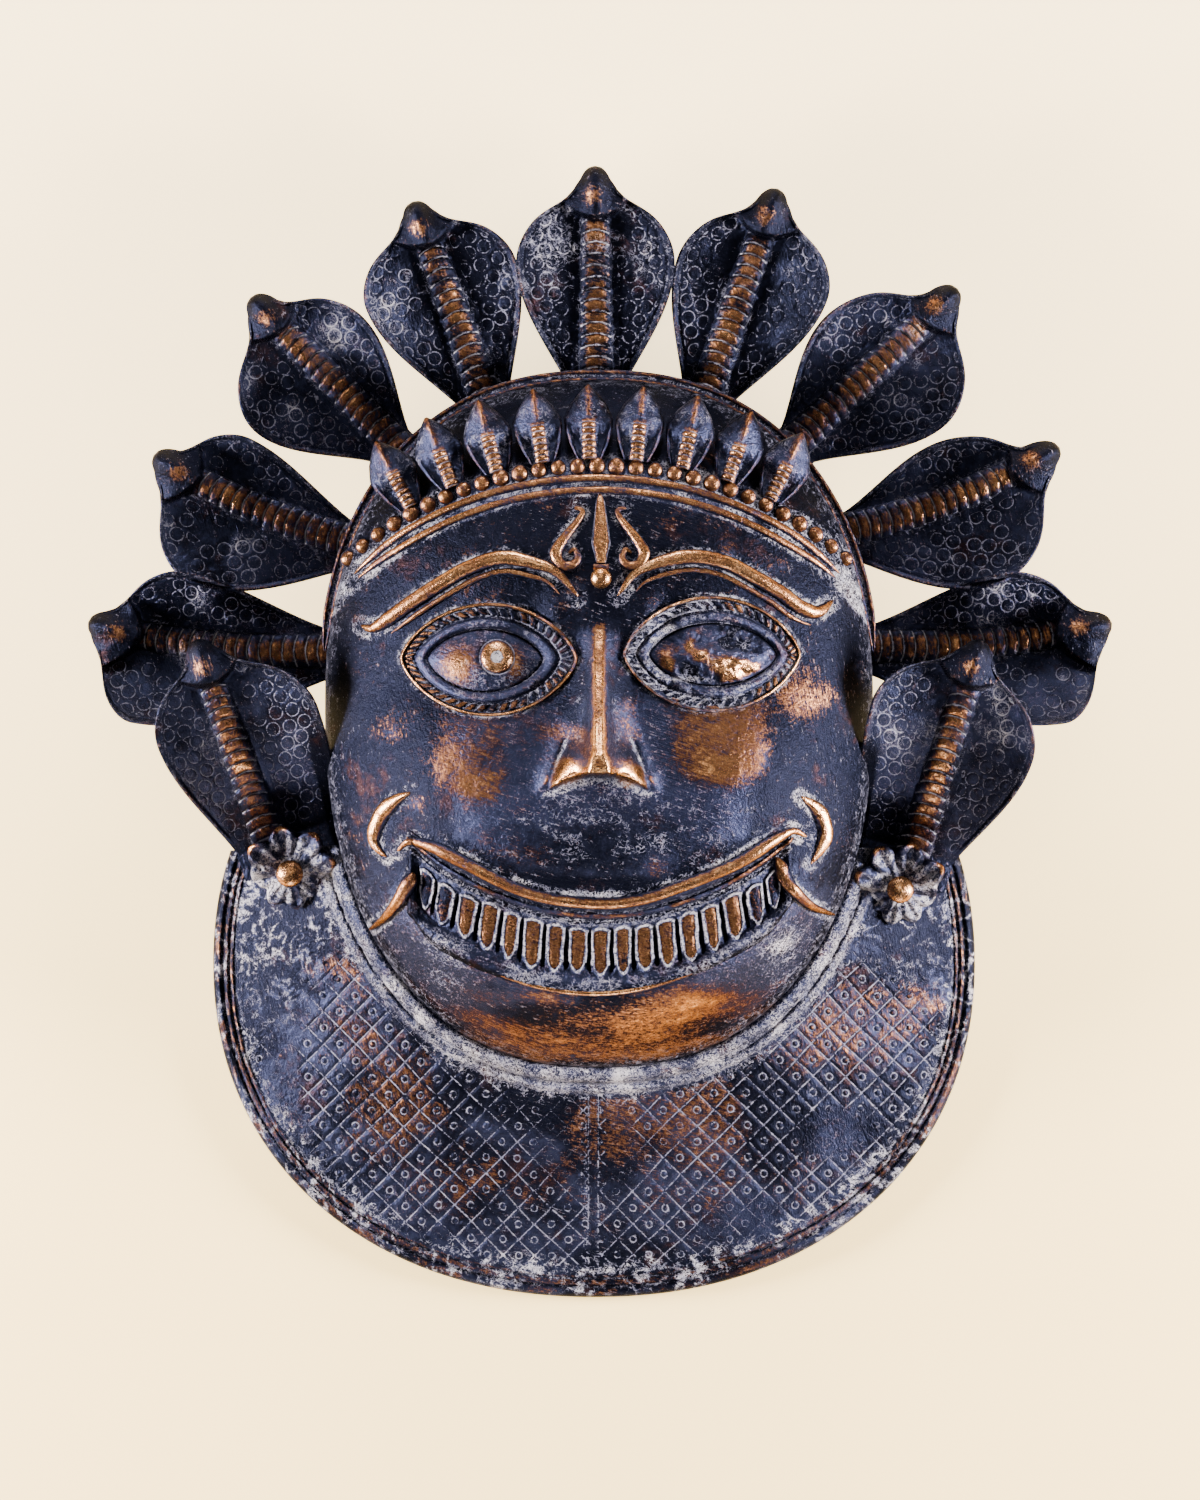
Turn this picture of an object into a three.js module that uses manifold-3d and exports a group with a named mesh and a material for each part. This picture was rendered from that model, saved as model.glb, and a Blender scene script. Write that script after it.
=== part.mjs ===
// Bronze deity mask with a fan of cobra hoods, cast as one hollow piece and lying on its back.
// Millimetres. +X is to the viewer's right, +Y towards the crown, +Z out of the face, z = 0 under the rim.
import * as THREE from 'three';
import { mergeVertices } from 'three/addons/utils/BufferGeometryUtils.js';
import Module from 'manifold-3d';

// Face: an egg-shaped dome on a straight side wall
const wall = 5;
const faceX = -0.5;
const faceY = 14.5;
const faceHalfWidth = 137.5;
const faceUp = 164;
const faceDown = 182.5;
const faceSquareness = 2.3;
const wallTop = 46;
const faceTop = 118;
const domeFullness = 2.6;
const domeEdge = 0.62;
const spokes = 40;
const faceRings = [0.16, 0.32, 0.47, 0.6, 0.71, 0.8, 0.88, 0.94, 0.98, 1];
const cavitySpokes = 28;
const cavityRings = [0.4, 0.7, 0.88, 1];
const cavityDrop = 8;
const cavityFoot = -1;

// Broad forms of the face: places, sizes and heights
const eyes = [
  {
    x: -55, y: 37.5, halfWidth: 43, up: 26, down: 27.5,
    ballX: -56, ballY: 37, ballWide: 27, ballTall: 15.5,
  },
  {
    x: 55.5, y: 39.5, halfWidth: 43, up: 27.5, down: 27.5,
    ballX: 55, ballY: 39, ballWide: 31, ballTall: 15,
  },
];
const ballDepth = 8;
const almondSteps = 16;
const almondPoint = 1.35;
const socketDepth = 7;
const ballHeight = 9;
const noseStations = [
  { y: 60, half: 5, height: 1 },
  { y: 40, half: 6.5, height: 8 },
  { y: 15, half: 8.5, height: 20 },
  { y: -8, half: 13, height: 31 },
  { y: -20, half: 21, height: 36 },
  { y: -28, half: 23, height: 30 },
  { y: -34, half: 19, height: 8 },
];
// Half of the nose's section as shares of its half width and height, foot to bridge
const noseSide = [[1.5, -0.15], [1, 0.4], [0.38, 0.92]];
const noseSink = 8;
const cheekX = 76;
const cheekY = -26;
const cheekRadius = 44;
const cheekHeight = 9;
const muzzleY = -62;
const muzzleHalfWidth = 92;
const muzzleHalfHeight = 34;
const muzzleHeight = 10;
const chinY = -137;
const chinHalfHeight = 24;
const chinHeight = 15;

// Mouth: the lip, tooth and chin lines are parabolas about the middle
const lipY = -83.5;
const lipCurve = 0.0042;
const lipHalfWidth = 97;
const chinLineX = -3;
const chinLineY = -128.5;
const chinLineCurve = 0.0046;
const channelDepth = 4.2;
const channelRise = 30;
const channelInset = 8;
const channelTop = 2;
const channelFoot = 1;
const mouthSteps = 12;
const teethCount = 17;
const toothPitch = 10.5;
const toothWidth = 8.2;
const toothHeight = 7;
const toothSink = 3;
const toothTop = 5;
const toothFoot = 4;

// Raised lines of the face, left ones as [x, y] points; the right ones mirror them
const browLine = [
  [-11, 68], [-21, 79.5], [-31.5, 84], [-48, 87], [-64, 82.5], [-79.5, 74], [-105.5, 56.5], [-119, 53],
];
const crescentLine = [[-94, -29], [-107, -36], [-112, -51], [-106, -61]];
const fangLine = [[-92.5, -68.5], [-98, -79], [-107, -89], [-115.5, -98]];
const fangLift = 3;
const fangRadius = 5;
const fangTaper = 0.13;
const prongLine = [[-13.5, 111.5], [-8, 110], [-17.5, 98], [-22.5, 89], [-16, 84], [-11.5, 89]];
const bladeLine = [[0, 119], [0, 83]];
const bladeRadius = 4;
const tridentBall = { x: 0.5, y: 77, radius: 5 };
const lineEnd = 0.4;
const lipInset = 6;

// Half width and height of each raised line's section, and how deep its foot is sunk
const browSection = [4.2, 5];
const eyeRimSection = [3.4, 4];
const crescentSection = [4.4, 5];
const prongSection = [2.8, 3.2];
const upperLipSection = [4.4, 5];
const lowerLipSection = [2.8, 3];
const lineSink = 1.5;
const lineSides = 4;

// Crown band, beads and small hoods lie on circles about one centre
const bandX = -1.5;
const bandY = -59.5;
const bandRadius = 183;
const bandHalfAngle = 40.5;
const bandHalfWidth = 5;
const bandHeight = 2.4;
const bandSink = 4;
const bandFlat = 0.7;
const bandSteps = 16;
const beadRadius = 3.6;
const beadRing = 192.5;
const beadCount = 29;
const beadPitch = 2.87;
const beadCrest = 5.1;
const beadGap = 0.45;
const smallHoodRing = 197;
const smallHoodPitch = 6.79;
const smallHoodCount = 9;
const smallHoodTurn = 1.1;
const smallHoodLength = 36;
const smallHoodHalfWidth = 12;
const smallHoodThickness = 7;
const smallHoodLift = 4;
const smallHoodFall = 6;
const smallHoodStations = [
  { t: 0, width: 0.6, crest: 3 },
  { t: 0.5, width: 1, crest: 4 },
  { t: 0.8, width: 0.65, crest: 3 },
  { t: 1, width: 0.12, crest: 4 },
];
const crownRimWidth = 6;
const crownRimHeight = 10;
const crownRimFrom = 11;
const crownRimZ = 47;
const crownRimSteps = 18;
const crownRimEnd = 0.3;

// Bib: a sloping crescent from the neck ring down to a rolled rim
const bibX = -3;
const bibY = -115.5;
const bibHalfWidth = 192.5;
const bibHalfHeight = 169;
const bibSquareness = 2.15;
const bibFrom = 162;
const bibTo = 378;
const neckAngleFrom = 210.5;
const neckAngleTo = 329;
const neckInset = 2;
const bibSteps = 24;
const bibRootZ = 47;
const bibRimZ = 6;
const rimWidth = 10;
const rimHeight = 4;
const neckRingWidth = 14;
const neckRingHeight = 7;

// Large hoods: root, middle and tip of the spine, and for either side the half width, where it is
// widest, and its share at the root where that isn't hoodRootShare
const hoods = [
  {
    root: [-134, 42], mid: [-197, 44.5], tip: [-256.5, 56],
    left: [44, 0.73], right: [35, 0.63], z: [20, 50], cup: 30,
  },
  { root: [-124, 96.5], mid: [-174, 114], tip: [-223.5, 139.5], left: [47.5, 0.62], right: [30.5, 0.64] },
  { root: [-103.5, 146.5], mid: [-139, 182.5], tip: [-175, 218.5], left: [46, 0.53], right: [33, 0.54] },
  { root: [-56.5, 166], mid: [-75, 217], tip: [-94, 266.5], left: [41, 0.6], right: [38, 0.58] },
  { root: [-2, 171], mid: [-2, 227], tip: [-2.5, 284.5], left: [40, 0.58], right: [39.5, 0.58] },
  { root: [52, 168], mid: [70.5, 220.5], tip: [89, 273], left: [36, 0.56], right: [42, 0.6] },
  { root: [98.5, 147], mid: [139, 185], tip: [179, 223], left: [35.5, 0.48], right: [45.5, 0.54] },
  { root: [123, 102.5], mid: [176.5, 118], tip: [230, 143.5], left: [29, 0.52], right: [48.5, 0.56] },
  {
    root: [134, 44.5], mid: [195, 46], tip: [256.5, 55.5],
    left: [34, 0.6], right: [45, 0.74], z: [20, 50], cup: 30,
  },
  {
    root: [-166, -54], mid: [-183.5, -3], tip: [-201, 47],
    left: [36, 0.58, 0.5], right: [46, 0.52, 0.85], z: [29, 84],
  },
  {
    root: [157.5, -59], mid: [173.5, -6], tip: [189.5, 47],
    left: [43, 0.6, 0.75], right: [42.5, 0.54, 0.5], z: [28, 84],
  },
];
const hoodZ = [28, 54];
const hoodCup = 9;
const cupAt = 40;
const hoodThickness = 4.5;
const hoodRootThickness = 14;
const hoodRootShare = 0.3;
const hoodRound = 1.15;
const hoodLean = 1.7;
const hoodSteps = [-0.14, 0.12, 0.33, 0.55, 0.71, 0.81, 0.87, 0.95, 1];
const ridgeHalfWidth = 7;
const ridgeHeight = 5.5;
const ridgeEnd = 0.76;
const headHalfWidth = 9;
const headHeight = 12;
const headStart = 0.78;

// Rosettes at the ends of the bib
const rosettes = [[-155.5, -70], [150.5, -78]];
const rosetteZ = 48;
const petalCount = 8;
const petalReach = 20;
const petalNotch = 0.3;
const rosetteTurn = 0.2;
// Reach as a share, height, and how far the petals are notched there
const rosetteProfile = [[0.7, -22.5, 0], [1, 2, 1], [0.42, 3, 0], [0.32, 9, 0], [0.14, 12, 0]];

// Everything below the resting plane is cut away by a block of this size
const groundSize = 700;
const groundDepth = 100;

const bronze = new THREE.MeshStandardMaterial({ color: 0x33323f, roughness: 0.45, metalness: 0.8 });

const wasm = await Module();
wasm.setup();

const mirrored = (points) => points.map(([x, y]) => [-x, y]);
const smooth = (a, b, x) => THREE.MathUtils.smoothstep(x, a, b);
const bump = (x, y, cx, cy, rx, ry) => Math.exp(-(((x - cx) / rx) ** 2) - ((y - cy) / ry) ** 2);

// A closed surface given as indexed triangles becomes a solid
function solidOf(geometry) {
  const g = geometry.clone();
  g.deleteAttribute('normal');
  g.deleteAttribute('uv');
  const merged = mergeVertices(g, 1e-4);
  const mesh = new wasm.Mesh({
    numProp: 3,
    vertProperties: new Float32Array(merged.attributes.position.array),
    triVerts: new Uint32Array(merged.index.array),
  });
  mesh.merge();
  return new wasm.Manifold(mesh);
}

// Rings of equal length, each a list of [x, y, z], joined in order. The ends are closed by the same
// triangles, cut for a flat section of [across, up] points, or else fanned from the first point.
function loft(rings, section) {
  const count = rings[0].length;
  const index = [];
  for (let r = 0; r < rings.length - 1; r++) {
    for (let i = 0; i < count; i++) {
      const j = (i + 1) % count;
      const a = r * count;
      const b = a + count;
      index.push(a + i, a + j, b + j, a + i, b + j, b + i);
    }
  }
  const fan = Array.from({ length: count - 2 }, (_, i) => [0, i + 1, i + 2]);
  const flat = section?.map((p) => new THREE.Vector2(...p));
  const clockwise = flat && THREE.ShapeUtils.isClockWise(flat);
  const cap = flat ? THREE.ShapeUtils.triangulateShape(flat, []) : fan;
  const end = (rings.length - 1) * count;
  for (const [a, b, c] of cap) {
    const [p, q] = clockwise ? [c, b] : [b, c];
    index.push(a, q, p);
    index.push(end + a, end + p, end + q);
  }
  return solidFrom(rings.flat(2), index);
}

// Turned the right way out if its volume comes out negative
function solidFrom(positions, index) {
  let volume = 0;
  const p = (i) => new THREE.Vector3().fromArray(positions, i * 3);
  for (let i = 0; i < index.length; i += 3) {
    volume += p(index[i]).dot(p(index[i + 1]).cross(p(index[i + 2])));
  }
  const g = new THREE.BufferGeometry();
  g.setAttribute('position', new THREE.Float32BufferAttribute(positions, 3));
  const turned = [];
  for (let i = 0; i < index.length; i += 3) {
    turned.push(index[i], index[i + 2], index[i + 1]);
  }
  g.setIndex(volume > 0 ? index : turned);
  return solidOf(g);
}

// A section of [across, up] points carried along a path of [x, y, z] points, across lying in the XY plane
function sweep(path, section, closed = false) {
  const count = path.length;
  const rings = path.map((p, i) => {
    const before = path[closed ? (i + count - 1) % count : Math.max(i - 1, 0)];
    const after = path[closed ? (i + 1) % count : Math.min(i + 1, count - 1)];
    const dx = after[0] - before[0];
    const dy = after[1] - before[1];
    const length = Math.hypot(dx, dy);
    const scale = p[3] ?? 1;
    return section.map(([across, up]) => [
      p[0] + (dy / length) * across * scale,
      p[1] - (dx / length) * across * scale,
      p[2] + up * scale,
    ]);
  });
  if (!closed) return loft(rings);
  const per = section.length;
  const index = [];
  for (let r = 0; r < count; r++) {
    const a = r * per;
    const b = ((r + 1) % count) * per;
    for (let i = 0; i < per; i++) {
      const j = (i + 1) % per;
      index.push(a + i, a + j, b + j, a + i, b + j, b + i);
    }
  }
  return solidFrom(rings.flat(2), index);
}

const ridgeSection = ([half, height]) => [[-half, -lineSink], [half, -lineSink], [0, height]];

const roundSection = (radius) =>
  Array.from({ length: lineSides }, (_, i) => {
    const a = ((i + 0.5) / lineSides) * 2 * Math.PI;
    return [radius * Math.cos(a), radius * Math.sin(a)];
  });

function ball(x, y, z, rx, ry, rz, across, down) {
  const g = new THREE.SphereGeometry(1, across, down);
  g.rotateX(Math.PI / 2);
  g.scale(rx, ry, rz);
  g.translate(x, y, z);
  return solidOf(g);
}

// 0 in the middle of the face and 1 on its outline, a superellipse with a longer lower half
function faceRatio(x, y) {
  const down = y < faceY ? faceDown : faceUp;
  const across = Math.abs((x - faceX) / faceHalfWidth) ** faceSquareness;
  return (across + Math.abs((y - faceY) / down) ** faceSquareness) ** (1 / faceSquareness);
}

// The point in a direction from the middle, at a share of the way to the outline and then grown outwards
function facePoint(angle, ratio, grow = 0) {
  const c = Math.cos(angle);
  const s = Math.sin(angle);
  const reach = 1 / faceRatio(faceX + c, faceY + s);
  return [faceX + c * (reach * ratio + grow), faceY + s * (reach * ratio + grow)];
}

const lipLine = (x) => lipY + lipCurve * x * x;
const chinLine = (x) => chinLineY + chinLineCurve * (x - chinLineX) ** 2;

// Height of the face's surface: the dome with its sockets, eyeballs, cheeks, muzzle and chin
function faceHeight(x, y) {
  const ratio = Math.min(faceRatio(x, y), 1);
  let z = wallTop + (faceTop - wallTop) * (1 - ratio ** domeFullness) ** domeEdge;
  for (const eye of eyes) {
    z -= socketDepth * bump(x, y, eye.x, eye.y, eye.halfWidth, eye.up);
    const ex = (x - eye.ballX) / eye.ballWide;
    const ey = (y - eye.ballY) / eye.ballTall;
    z += ballHeight * Math.sqrt(Math.max(1 - ex * ex - ey * ey, 0));
  }
  for (const side of [-1, 1]) {
    z += cheekHeight * bump(x, y, side * cheekX, cheekY, cheekRadius, cheekRadius);
  }
  z += muzzleHeight * bump(x, y, 0, muzzleY, muzzleHalfWidth, muzzleHalfHeight);
  const fromChin = (y - chinLine(x) + (chinLineY - chinY)) / chinHalfHeight;
  return z + chinHeight * Math.exp(-(fromChin ** 2)) * (1 - ratio ** 8);
}

function faceDome() {
  const angles = Array.from({ length: spokes }, (_, i) => (i / spokes) * 2 * Math.PI);
  const rings = faceRings.map((ratio) =>
    angles.map((a) => {
      const [x, y] = facePoint(a, ratio);
      return [x, y, faceHeight(x, y)];
    }),
  );
  rings.push(angles.map((a) => [...facePoint(a, 1), 0]));
  return loft(rings);
}

// Inside of the face: the dome without its features, a wall's thickness in, open at the back
function cavity() {
  const angles = Array.from({ length: cavitySpokes }, (_, i) => (i / cavitySpokes) * 2 * Math.PI);
  const rings = cavityRings.map((ratio) =>
    angles.map((a) => {
      const [x, y] = facePoint(a, ratio, -wall * ratio);
      const dome = wallTop + (faceTop - wallTop) * (1 - ratio ** domeFullness) ** domeEdge;
      return [x, y, dome - cavityDrop];
    }),
  );
  rings.push(rings[rings.length - 1].map(([x, y]) => [x, y, cavityFoot]));
  return loft(rings);
}

// Spine of a hood: a curve through root, middle and tip, with the direction to its right
function hoodSpine({ root, mid, tip }, t) {
  const control = mid.map((m, i) => 2 * m - (root[i] + tip[i]) / 2);
  const at = [0, 1].map((i) => (1 - t) ** 2 * root[i] + 2 * t * (1 - t) * control[i] + t * t * tip[i]);
  const [dx, dy] = [0, 1].map((i) => (1 - t) * (control[i] - root[i]) + t * (tip[i] - control[i]));
  const length = Math.hypot(dx, dy);
  return { at, right: [dy / length, -dx / length] };
}

// Half width along a hood: a rising sine to the widest place, then a round shoulder to the neck
function hoodHalfWidth([width, widest, rootShare = hoodRootShare], t) {
  if (t < widest) {
    const rise = Math.sin((Math.PI / 2) * (Math.max(t, 0) / widest) ** hoodRound);
    return width * (rootShare + (1 - rootShare) * rise);
  }
  return width * Math.max(1 - ((t - widest) / (1 - widest)) ** 2, 0.02) ** hoodRound;
}

// Height of a hood at t along its spine and a distance across it
function hoodHeight(hood, t, across) {
  const [low, high] = hood.z ?? hoodZ;
  const rise = low + (high - low) * (1 - (1 - t) ** hoodLean);
  return rise + (hood.cup ?? hoodCup) * (across / cupAt) ** 2 * smooth(0, 0.5, t);
}

// One loft: hollow front with a belly ridge, a plain back, and a blunt head that takes over at the neck
function hoodSolid(hood) {
  const rings = hoodSteps.map((t) => {
    const { at, right } = hoodSpine(hood, t);
    const headShare = THREE.MathUtils.clamp((t - headStart) / (1 - headStart), 0, 1);
    const headSwell = Math.sin(Math.PI * Math.min(headShare * 0.8 + 0.12, 1)) ** 0.5;
    const headHalf = headHalfWidth * (headSwell + 0.1);
    const left = Math.max(hoodHalfWidth(hood.left, t), headHalf);
    const rightHalf = Math.max(hoodHalfWidth(hood.right, t), headHalf);
    const ridge = t < ridgeEnd ? ridgeHalfWidth * (1 - 0.3 * t) : headHalfWidth * headSwell * 0.55;
    const raise = t < ridgeEnd ? ridgeHeight : Math.max(headHeight * headSwell, 0);
    const thick = hoodThickness + (hoodRootThickness - hoodThickness) * (1 - smooth(0, 0.3, t));
    const front = [[-left, 0], [-ridge, 0], [0, raise], [ridge, 0], [rightHalf, 0]];
    const back = [[rightHalf, -thick], [0, -thick], [-left, -thick]];
    return [...front, ...back].map(([across, up]) => [
      at[0] + right[0] * across,
      at[1] + right[1] * across,
      hoodHeight(hood, t, across) + up,
    ]);
  });
  return loft(rings);
}

const onBand = (radius, degrees) => {
  const a = THREE.MathUtils.degToRad(90 - degrees);
  return [bandX + radius * Math.cos(a), bandY + radius * Math.sin(a)];
};

const steps = (from, to, count) =>
  Array.from({ length: count + 1 }, (_, i) => from + ((to - from) * i) / count);

// Small hood: a bud with a raised middle, widest at half its length, leaning back from the beads
function smallHood(index) {
  const degrees = (index - (smallHoodCount - 1) / 2) * smallHoodPitch - smallHoodTurn;
  const a = THREE.MathUtils.degToRad(degrees);
  const base = faceHeight(...onBand(smallHoodRing, degrees)) + smallHoodLift;
  const rings = smallHoodStations.map(({ t, width, crest }) => {
    const half = smallHoodHalfWidth * width;
    const [x, y] = onBand(smallHoodRing + smallHoodLength * t, degrees);
    const foot = -smallHoodThickness;
    const section = [[-1, 0], [-0.3, crest], [0.3, crest], [1, 0], [0.6, foot], [-0.6, foot]];
    return section.map(([across, up]) => [
      x + Math.cos(a) * half * across,
      y - Math.sin(a) * half * across,
      base - smallHoodFall * t + up,
    ]);
  });
  return loft(rings);
}

// Crown: the band, a string of beads, the small hoods and the rim round the top of the face
function crown() {
  const parts = [];
  const band = steps(-bandHalfAngle, bandHalfAngle, bandSteps).map((d) => {
    const [x, y] = onBand(bandRadius, d);
    return [x, y, faceHeight(x, y)];
  });
  const flat = bandHalfWidth * bandFlat;
  const foot = [[-bandHalfWidth, -bandSink], [bandHalfWidth, -bandSink]];
  parts.push(sweep(band, [...foot, [flat, bandHeight], [-flat, bandHeight]]));
  const beads = steps(0, beadCount * 2, beadCount * 2).map((i) => {
    const [x, y] = onBand(beadRing, (i - beadCount) * beadPitch * 0.5);
    return [x, y, faceHeight(x, y), i % 2 === 1 ? 1 : beadGap];
  });
  parts.push(sweep(beads, [[-beadRadius, -1], [beadRadius, -1], [0, beadCrest]]));
  for (let i = 0; i < smallHoodCount; i++) {
    parts.push(smallHood(i));
  }
  const rim = steps(crownRimFrom, 180 - crownRimFrom, crownRimSteps).map((d, i, all) => {
    const [x, y] = facePoint(THREE.MathUtils.degToRad(d), 1, 1);
    const ending = i === 0 || i === all.length - 1;
    return [x, y, crownRimZ, ending ? crownRimEnd : 1];
  });
  const half = crownRimWidth / 2;
  const tall = crownRimHeight / 2;
  parts.push(sweep(rim, [[-half, -tall], [half, -tall], [half, tall], [-half, tall]]));
  return parts;
}

// Points on the two edges of the bib at a share s of its length, from the left rosette round to the right
function bibPoint(s, v) {
  const neck = THREE.MathUtils.degToRad(neckAngleFrom + (neckAngleTo - neckAngleFrom) * s);
  const inner = facePoint(neck, 1, -neckInset);
  const a = THREE.MathUtils.degToRad(bibFrom + (bibTo - bibFrom) * s);
  const power = 2 / bibSquareness;
  const outer = [
    bibX + bibHalfWidth * Math.sign(Math.cos(a)) * Math.abs(Math.cos(a)) ** power,
    bibY + bibHalfHeight * Math.sign(Math.sin(a)) * Math.abs(Math.sin(a)) ** power,
  ];
  const x = inner[0] + (outer[0] - inner[0]) * v;
  const y = inner[1] + (outer[1] - inner[1]) * v;
  return [x, y, bibRootZ + (bibRimZ - bibRootZ) * v];
}

// Section of the bib: raised neck ring, plain slope and rolled rim, as [reach outwards, up]
function bibSection(s) {
  const [inner, outer] = [bibPoint(s, 0), bibPoint(s, 1)];
  const span = Math.hypot(outer[0] - inner[0], outer[1] - inner[1]);
  const points = [
    [0, neckRingHeight],
    [neckRingWidth * 0.7, neckRingHeight],
    [neckRingWidth, 0],
    [span - rimWidth, 0],
    [span - rimWidth / 2, rimHeight],
    [span, 0],
    [span, -bibRimZ],
    [span - rimWidth, -wall],
    [0, -wall],
  ];
  return { span, points };
}

function bib() {
  const rings = steps(0, 1, bibSteps).map((s) => {
    const { span, points } = bibSection(s);
    return points.map(([reach, up]) => {
      const [x, y, z] = bibPoint(s, reach / span);
      return [x, y, z + up];
    });
  });
  const parts = [loft(rings, bibSection(0).points)];
  for (const [x, y] of rosettes) {
    parts.push(rosette(x, y));
  }
  return parts;
}

// Rosette: a stem, a scalloped ring of petals with two points to each, and a round boss
function rosette(x, y) {
  const rings = rosetteProfile.map(([reach, up, scallop]) =>
    Array.from({ length: petalCount * 2 }, (_, i) => {
      const a = (i / petalCount) * Math.PI + rosetteTurn;
      const r = petalReach * reach * (1 - petalNotch * scallop * (i % 2));
      return [x + r * Math.cos(a), y + r * Math.sin(a), rosetteZ + up];
    }),
  );
  return loft(rings);
}

// A curve through a few [x, y] points, laid on the face and lifted, thinner towards its ends
function onFace(points, count, lift) {
  const curve = new THREE.CatmullRomCurve3(points.map(([x, y]) => new THREE.Vector3(x, y, 0)));
  return curve.getSpacedPoints(count).map((p, i) => {
    const end = Math.sin((Math.PI * i) / count) ** 0.5;
    return [p.x, p.y, faceHeight(p.x, p.y) + lift, lineEnd + (1 - lineEnd) * end];
  });
}

// Outline of an eye's rim: an ellipse drawn out to a point at each end
function almond(eye) {
  return Array.from({ length: almondSteps }, (_, i) => {
    const a = (i / almondSteps) * 2 * Math.PI;
    const across = Math.cos(a);
    const rise = Math.sin(a);
    const up = rise > 0 ? eye.up : eye.down;
    const x = eye.x + eye.halfWidth * across;
    const y = eye.y + up * Math.sign(rise) * Math.abs(rise) ** almondPoint;
    return [x, y, faceHeight(x, y)];
  });
}

// Everything raised on the face: nose, brows, eyes, mouth, trident
function features() {
  const parts = [nose()];
  const pairs = [
    [browLine, 10, browSection],
    [crescentLine, 5, crescentSection],
    [prongLine, 7, prongSection],
  ];
  for (const [line, count, section] of pairs) {
    for (const side of [line, mirrored(line)]) {
      parts.push(sweep(onFace(side, count, 0), ridgeSection(section)));
    }
  }
  for (const eye of eyes) {
    const z = faceHeight(eye.ballX, eye.ballY) - ballDepth;
    parts.push(sweep(almond(eye), ridgeSection(eyeRimSection), true));
    parts.push(ball(eye.ballX, eye.ballY, z, eye.ballWide, eye.ballTall, ballHeight, 10, 6));
  }
  for (const line of [fangLine, mirrored(fangLine)]) {
    const path = onFace(line, 6, fangLift).map(([x, y, z], i) => [x, y, z, 1 - i * fangTaper]);
    parts.push(sweep(path, roundSection(fangRadius)));
  }
  const { x, y, radius } = tridentBall;
  parts.push(sweep(onFace(bladeLine, 4, 0), roundSection(bladeRadius)));
  parts.push(ball(x, y, faceHeight(x, y) + 1, radius, radius, radius, 6, 4));
  const upperLip = lineAcross(lipHalfWidth, (at) => lipLine(at) + 1);
  const lowerLip = lineAcross(lipHalfWidth - lipInset, chinLine);
  parts.push(sweep(upperLip, ridgeSection(upperLipSection)));
  parts.push(sweep(lowerLip, ridgeSection(lowerLipSection)));
  return parts;
}

// A line across the mouth, laid on the face
function lineAcross(half, line) {
  return steps(-half, half, mouthSteps).map((x) => [x, line(x), faceHeight(x, line(x))]);
}

// Nose: a narrow flat bridge that widens to the wings and turns in under the tip
function nose() {
  const rings = noseStations.map(({ y, half, height }) => {
    const base = faceHeight(faceX, y);
    const across = [...noseSide.map(([a, up]) => [-a, up]), ...noseSide.toReversed()];
    return across.map(([a, up]) => [faceX + half * a, y, base + (up < 0 ? -noseSink : height * up)]);
  });
  return loft(rings);
}

// The teeth stand in a channel sunk between the two lips
function mouthChannel() {
  const rings = steps(channelInset - lipHalfWidth, lipHalfWidth - channelInset, mouthSteps).map((x) => {
    const high = lipLine(x) - channelTop;
    const low = chinLine(x) + channelFoot;
    const z = faceHeight(x, (high + low) / 2);
    const top = z + channelRise;
    const floor = z - channelDepth;
    return [[x, high, top], [x, low, top], [x, low, floor], [x, high, floor]];
  });
  return loft(rings);
}

// A row of upright bars between the lips
function teeth() {
  const parts = [];
  for (let i = 0; i < teethCount; i++) {
    const x = (i - (teethCount - 1) / 2) * toothPitch;
    const high = lipLine(x) - toothTop;
    const low = chinLine(x) + toothFoot;
    const y = (high + low) / 2;
    const g = new THREE.BoxGeometry(toothWidth, high - low, toothHeight);
    g.translate(x, y, faceHeight(x, y) - toothSink);
    parts.push(solidOf(g));
  }
  return parts;
}

// The whole casting, flat under the rim, and open inside the face whatever reaches through the wall
function mask() {
  let body = faceDome().subtract(mouthChannel());
  for (const part of [...teeth(), ...features(), ...crown(), ...bib(), ...hoods.map(hoodSolid)]) {
    body = body.add(part);
  }
  const below = new THREE.BoxGeometry(groundSize, groundSize, groundDepth);
  below.translate(0, 0, -groundDepth / 2);
  return body.subtract(cavity()).subtract(solidOf(below));
}

const result = mask().getMesh();
const geometry = new THREE.BufferGeometry();
geometry.setAttribute('position', new THREE.BufferAttribute(new Float32Array(result.vertProperties), 3));
geometry.setIndex(new THREE.BufferAttribute(new Uint32Array(result.triVerts), 1));
geometry.computeVertexNormals();

const group = new THREE.Group();
const mesh = new THREE.Mesh(geometry, bronze);
mesh.name = 'mask';
group.add(mesh);

export default group;
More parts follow.
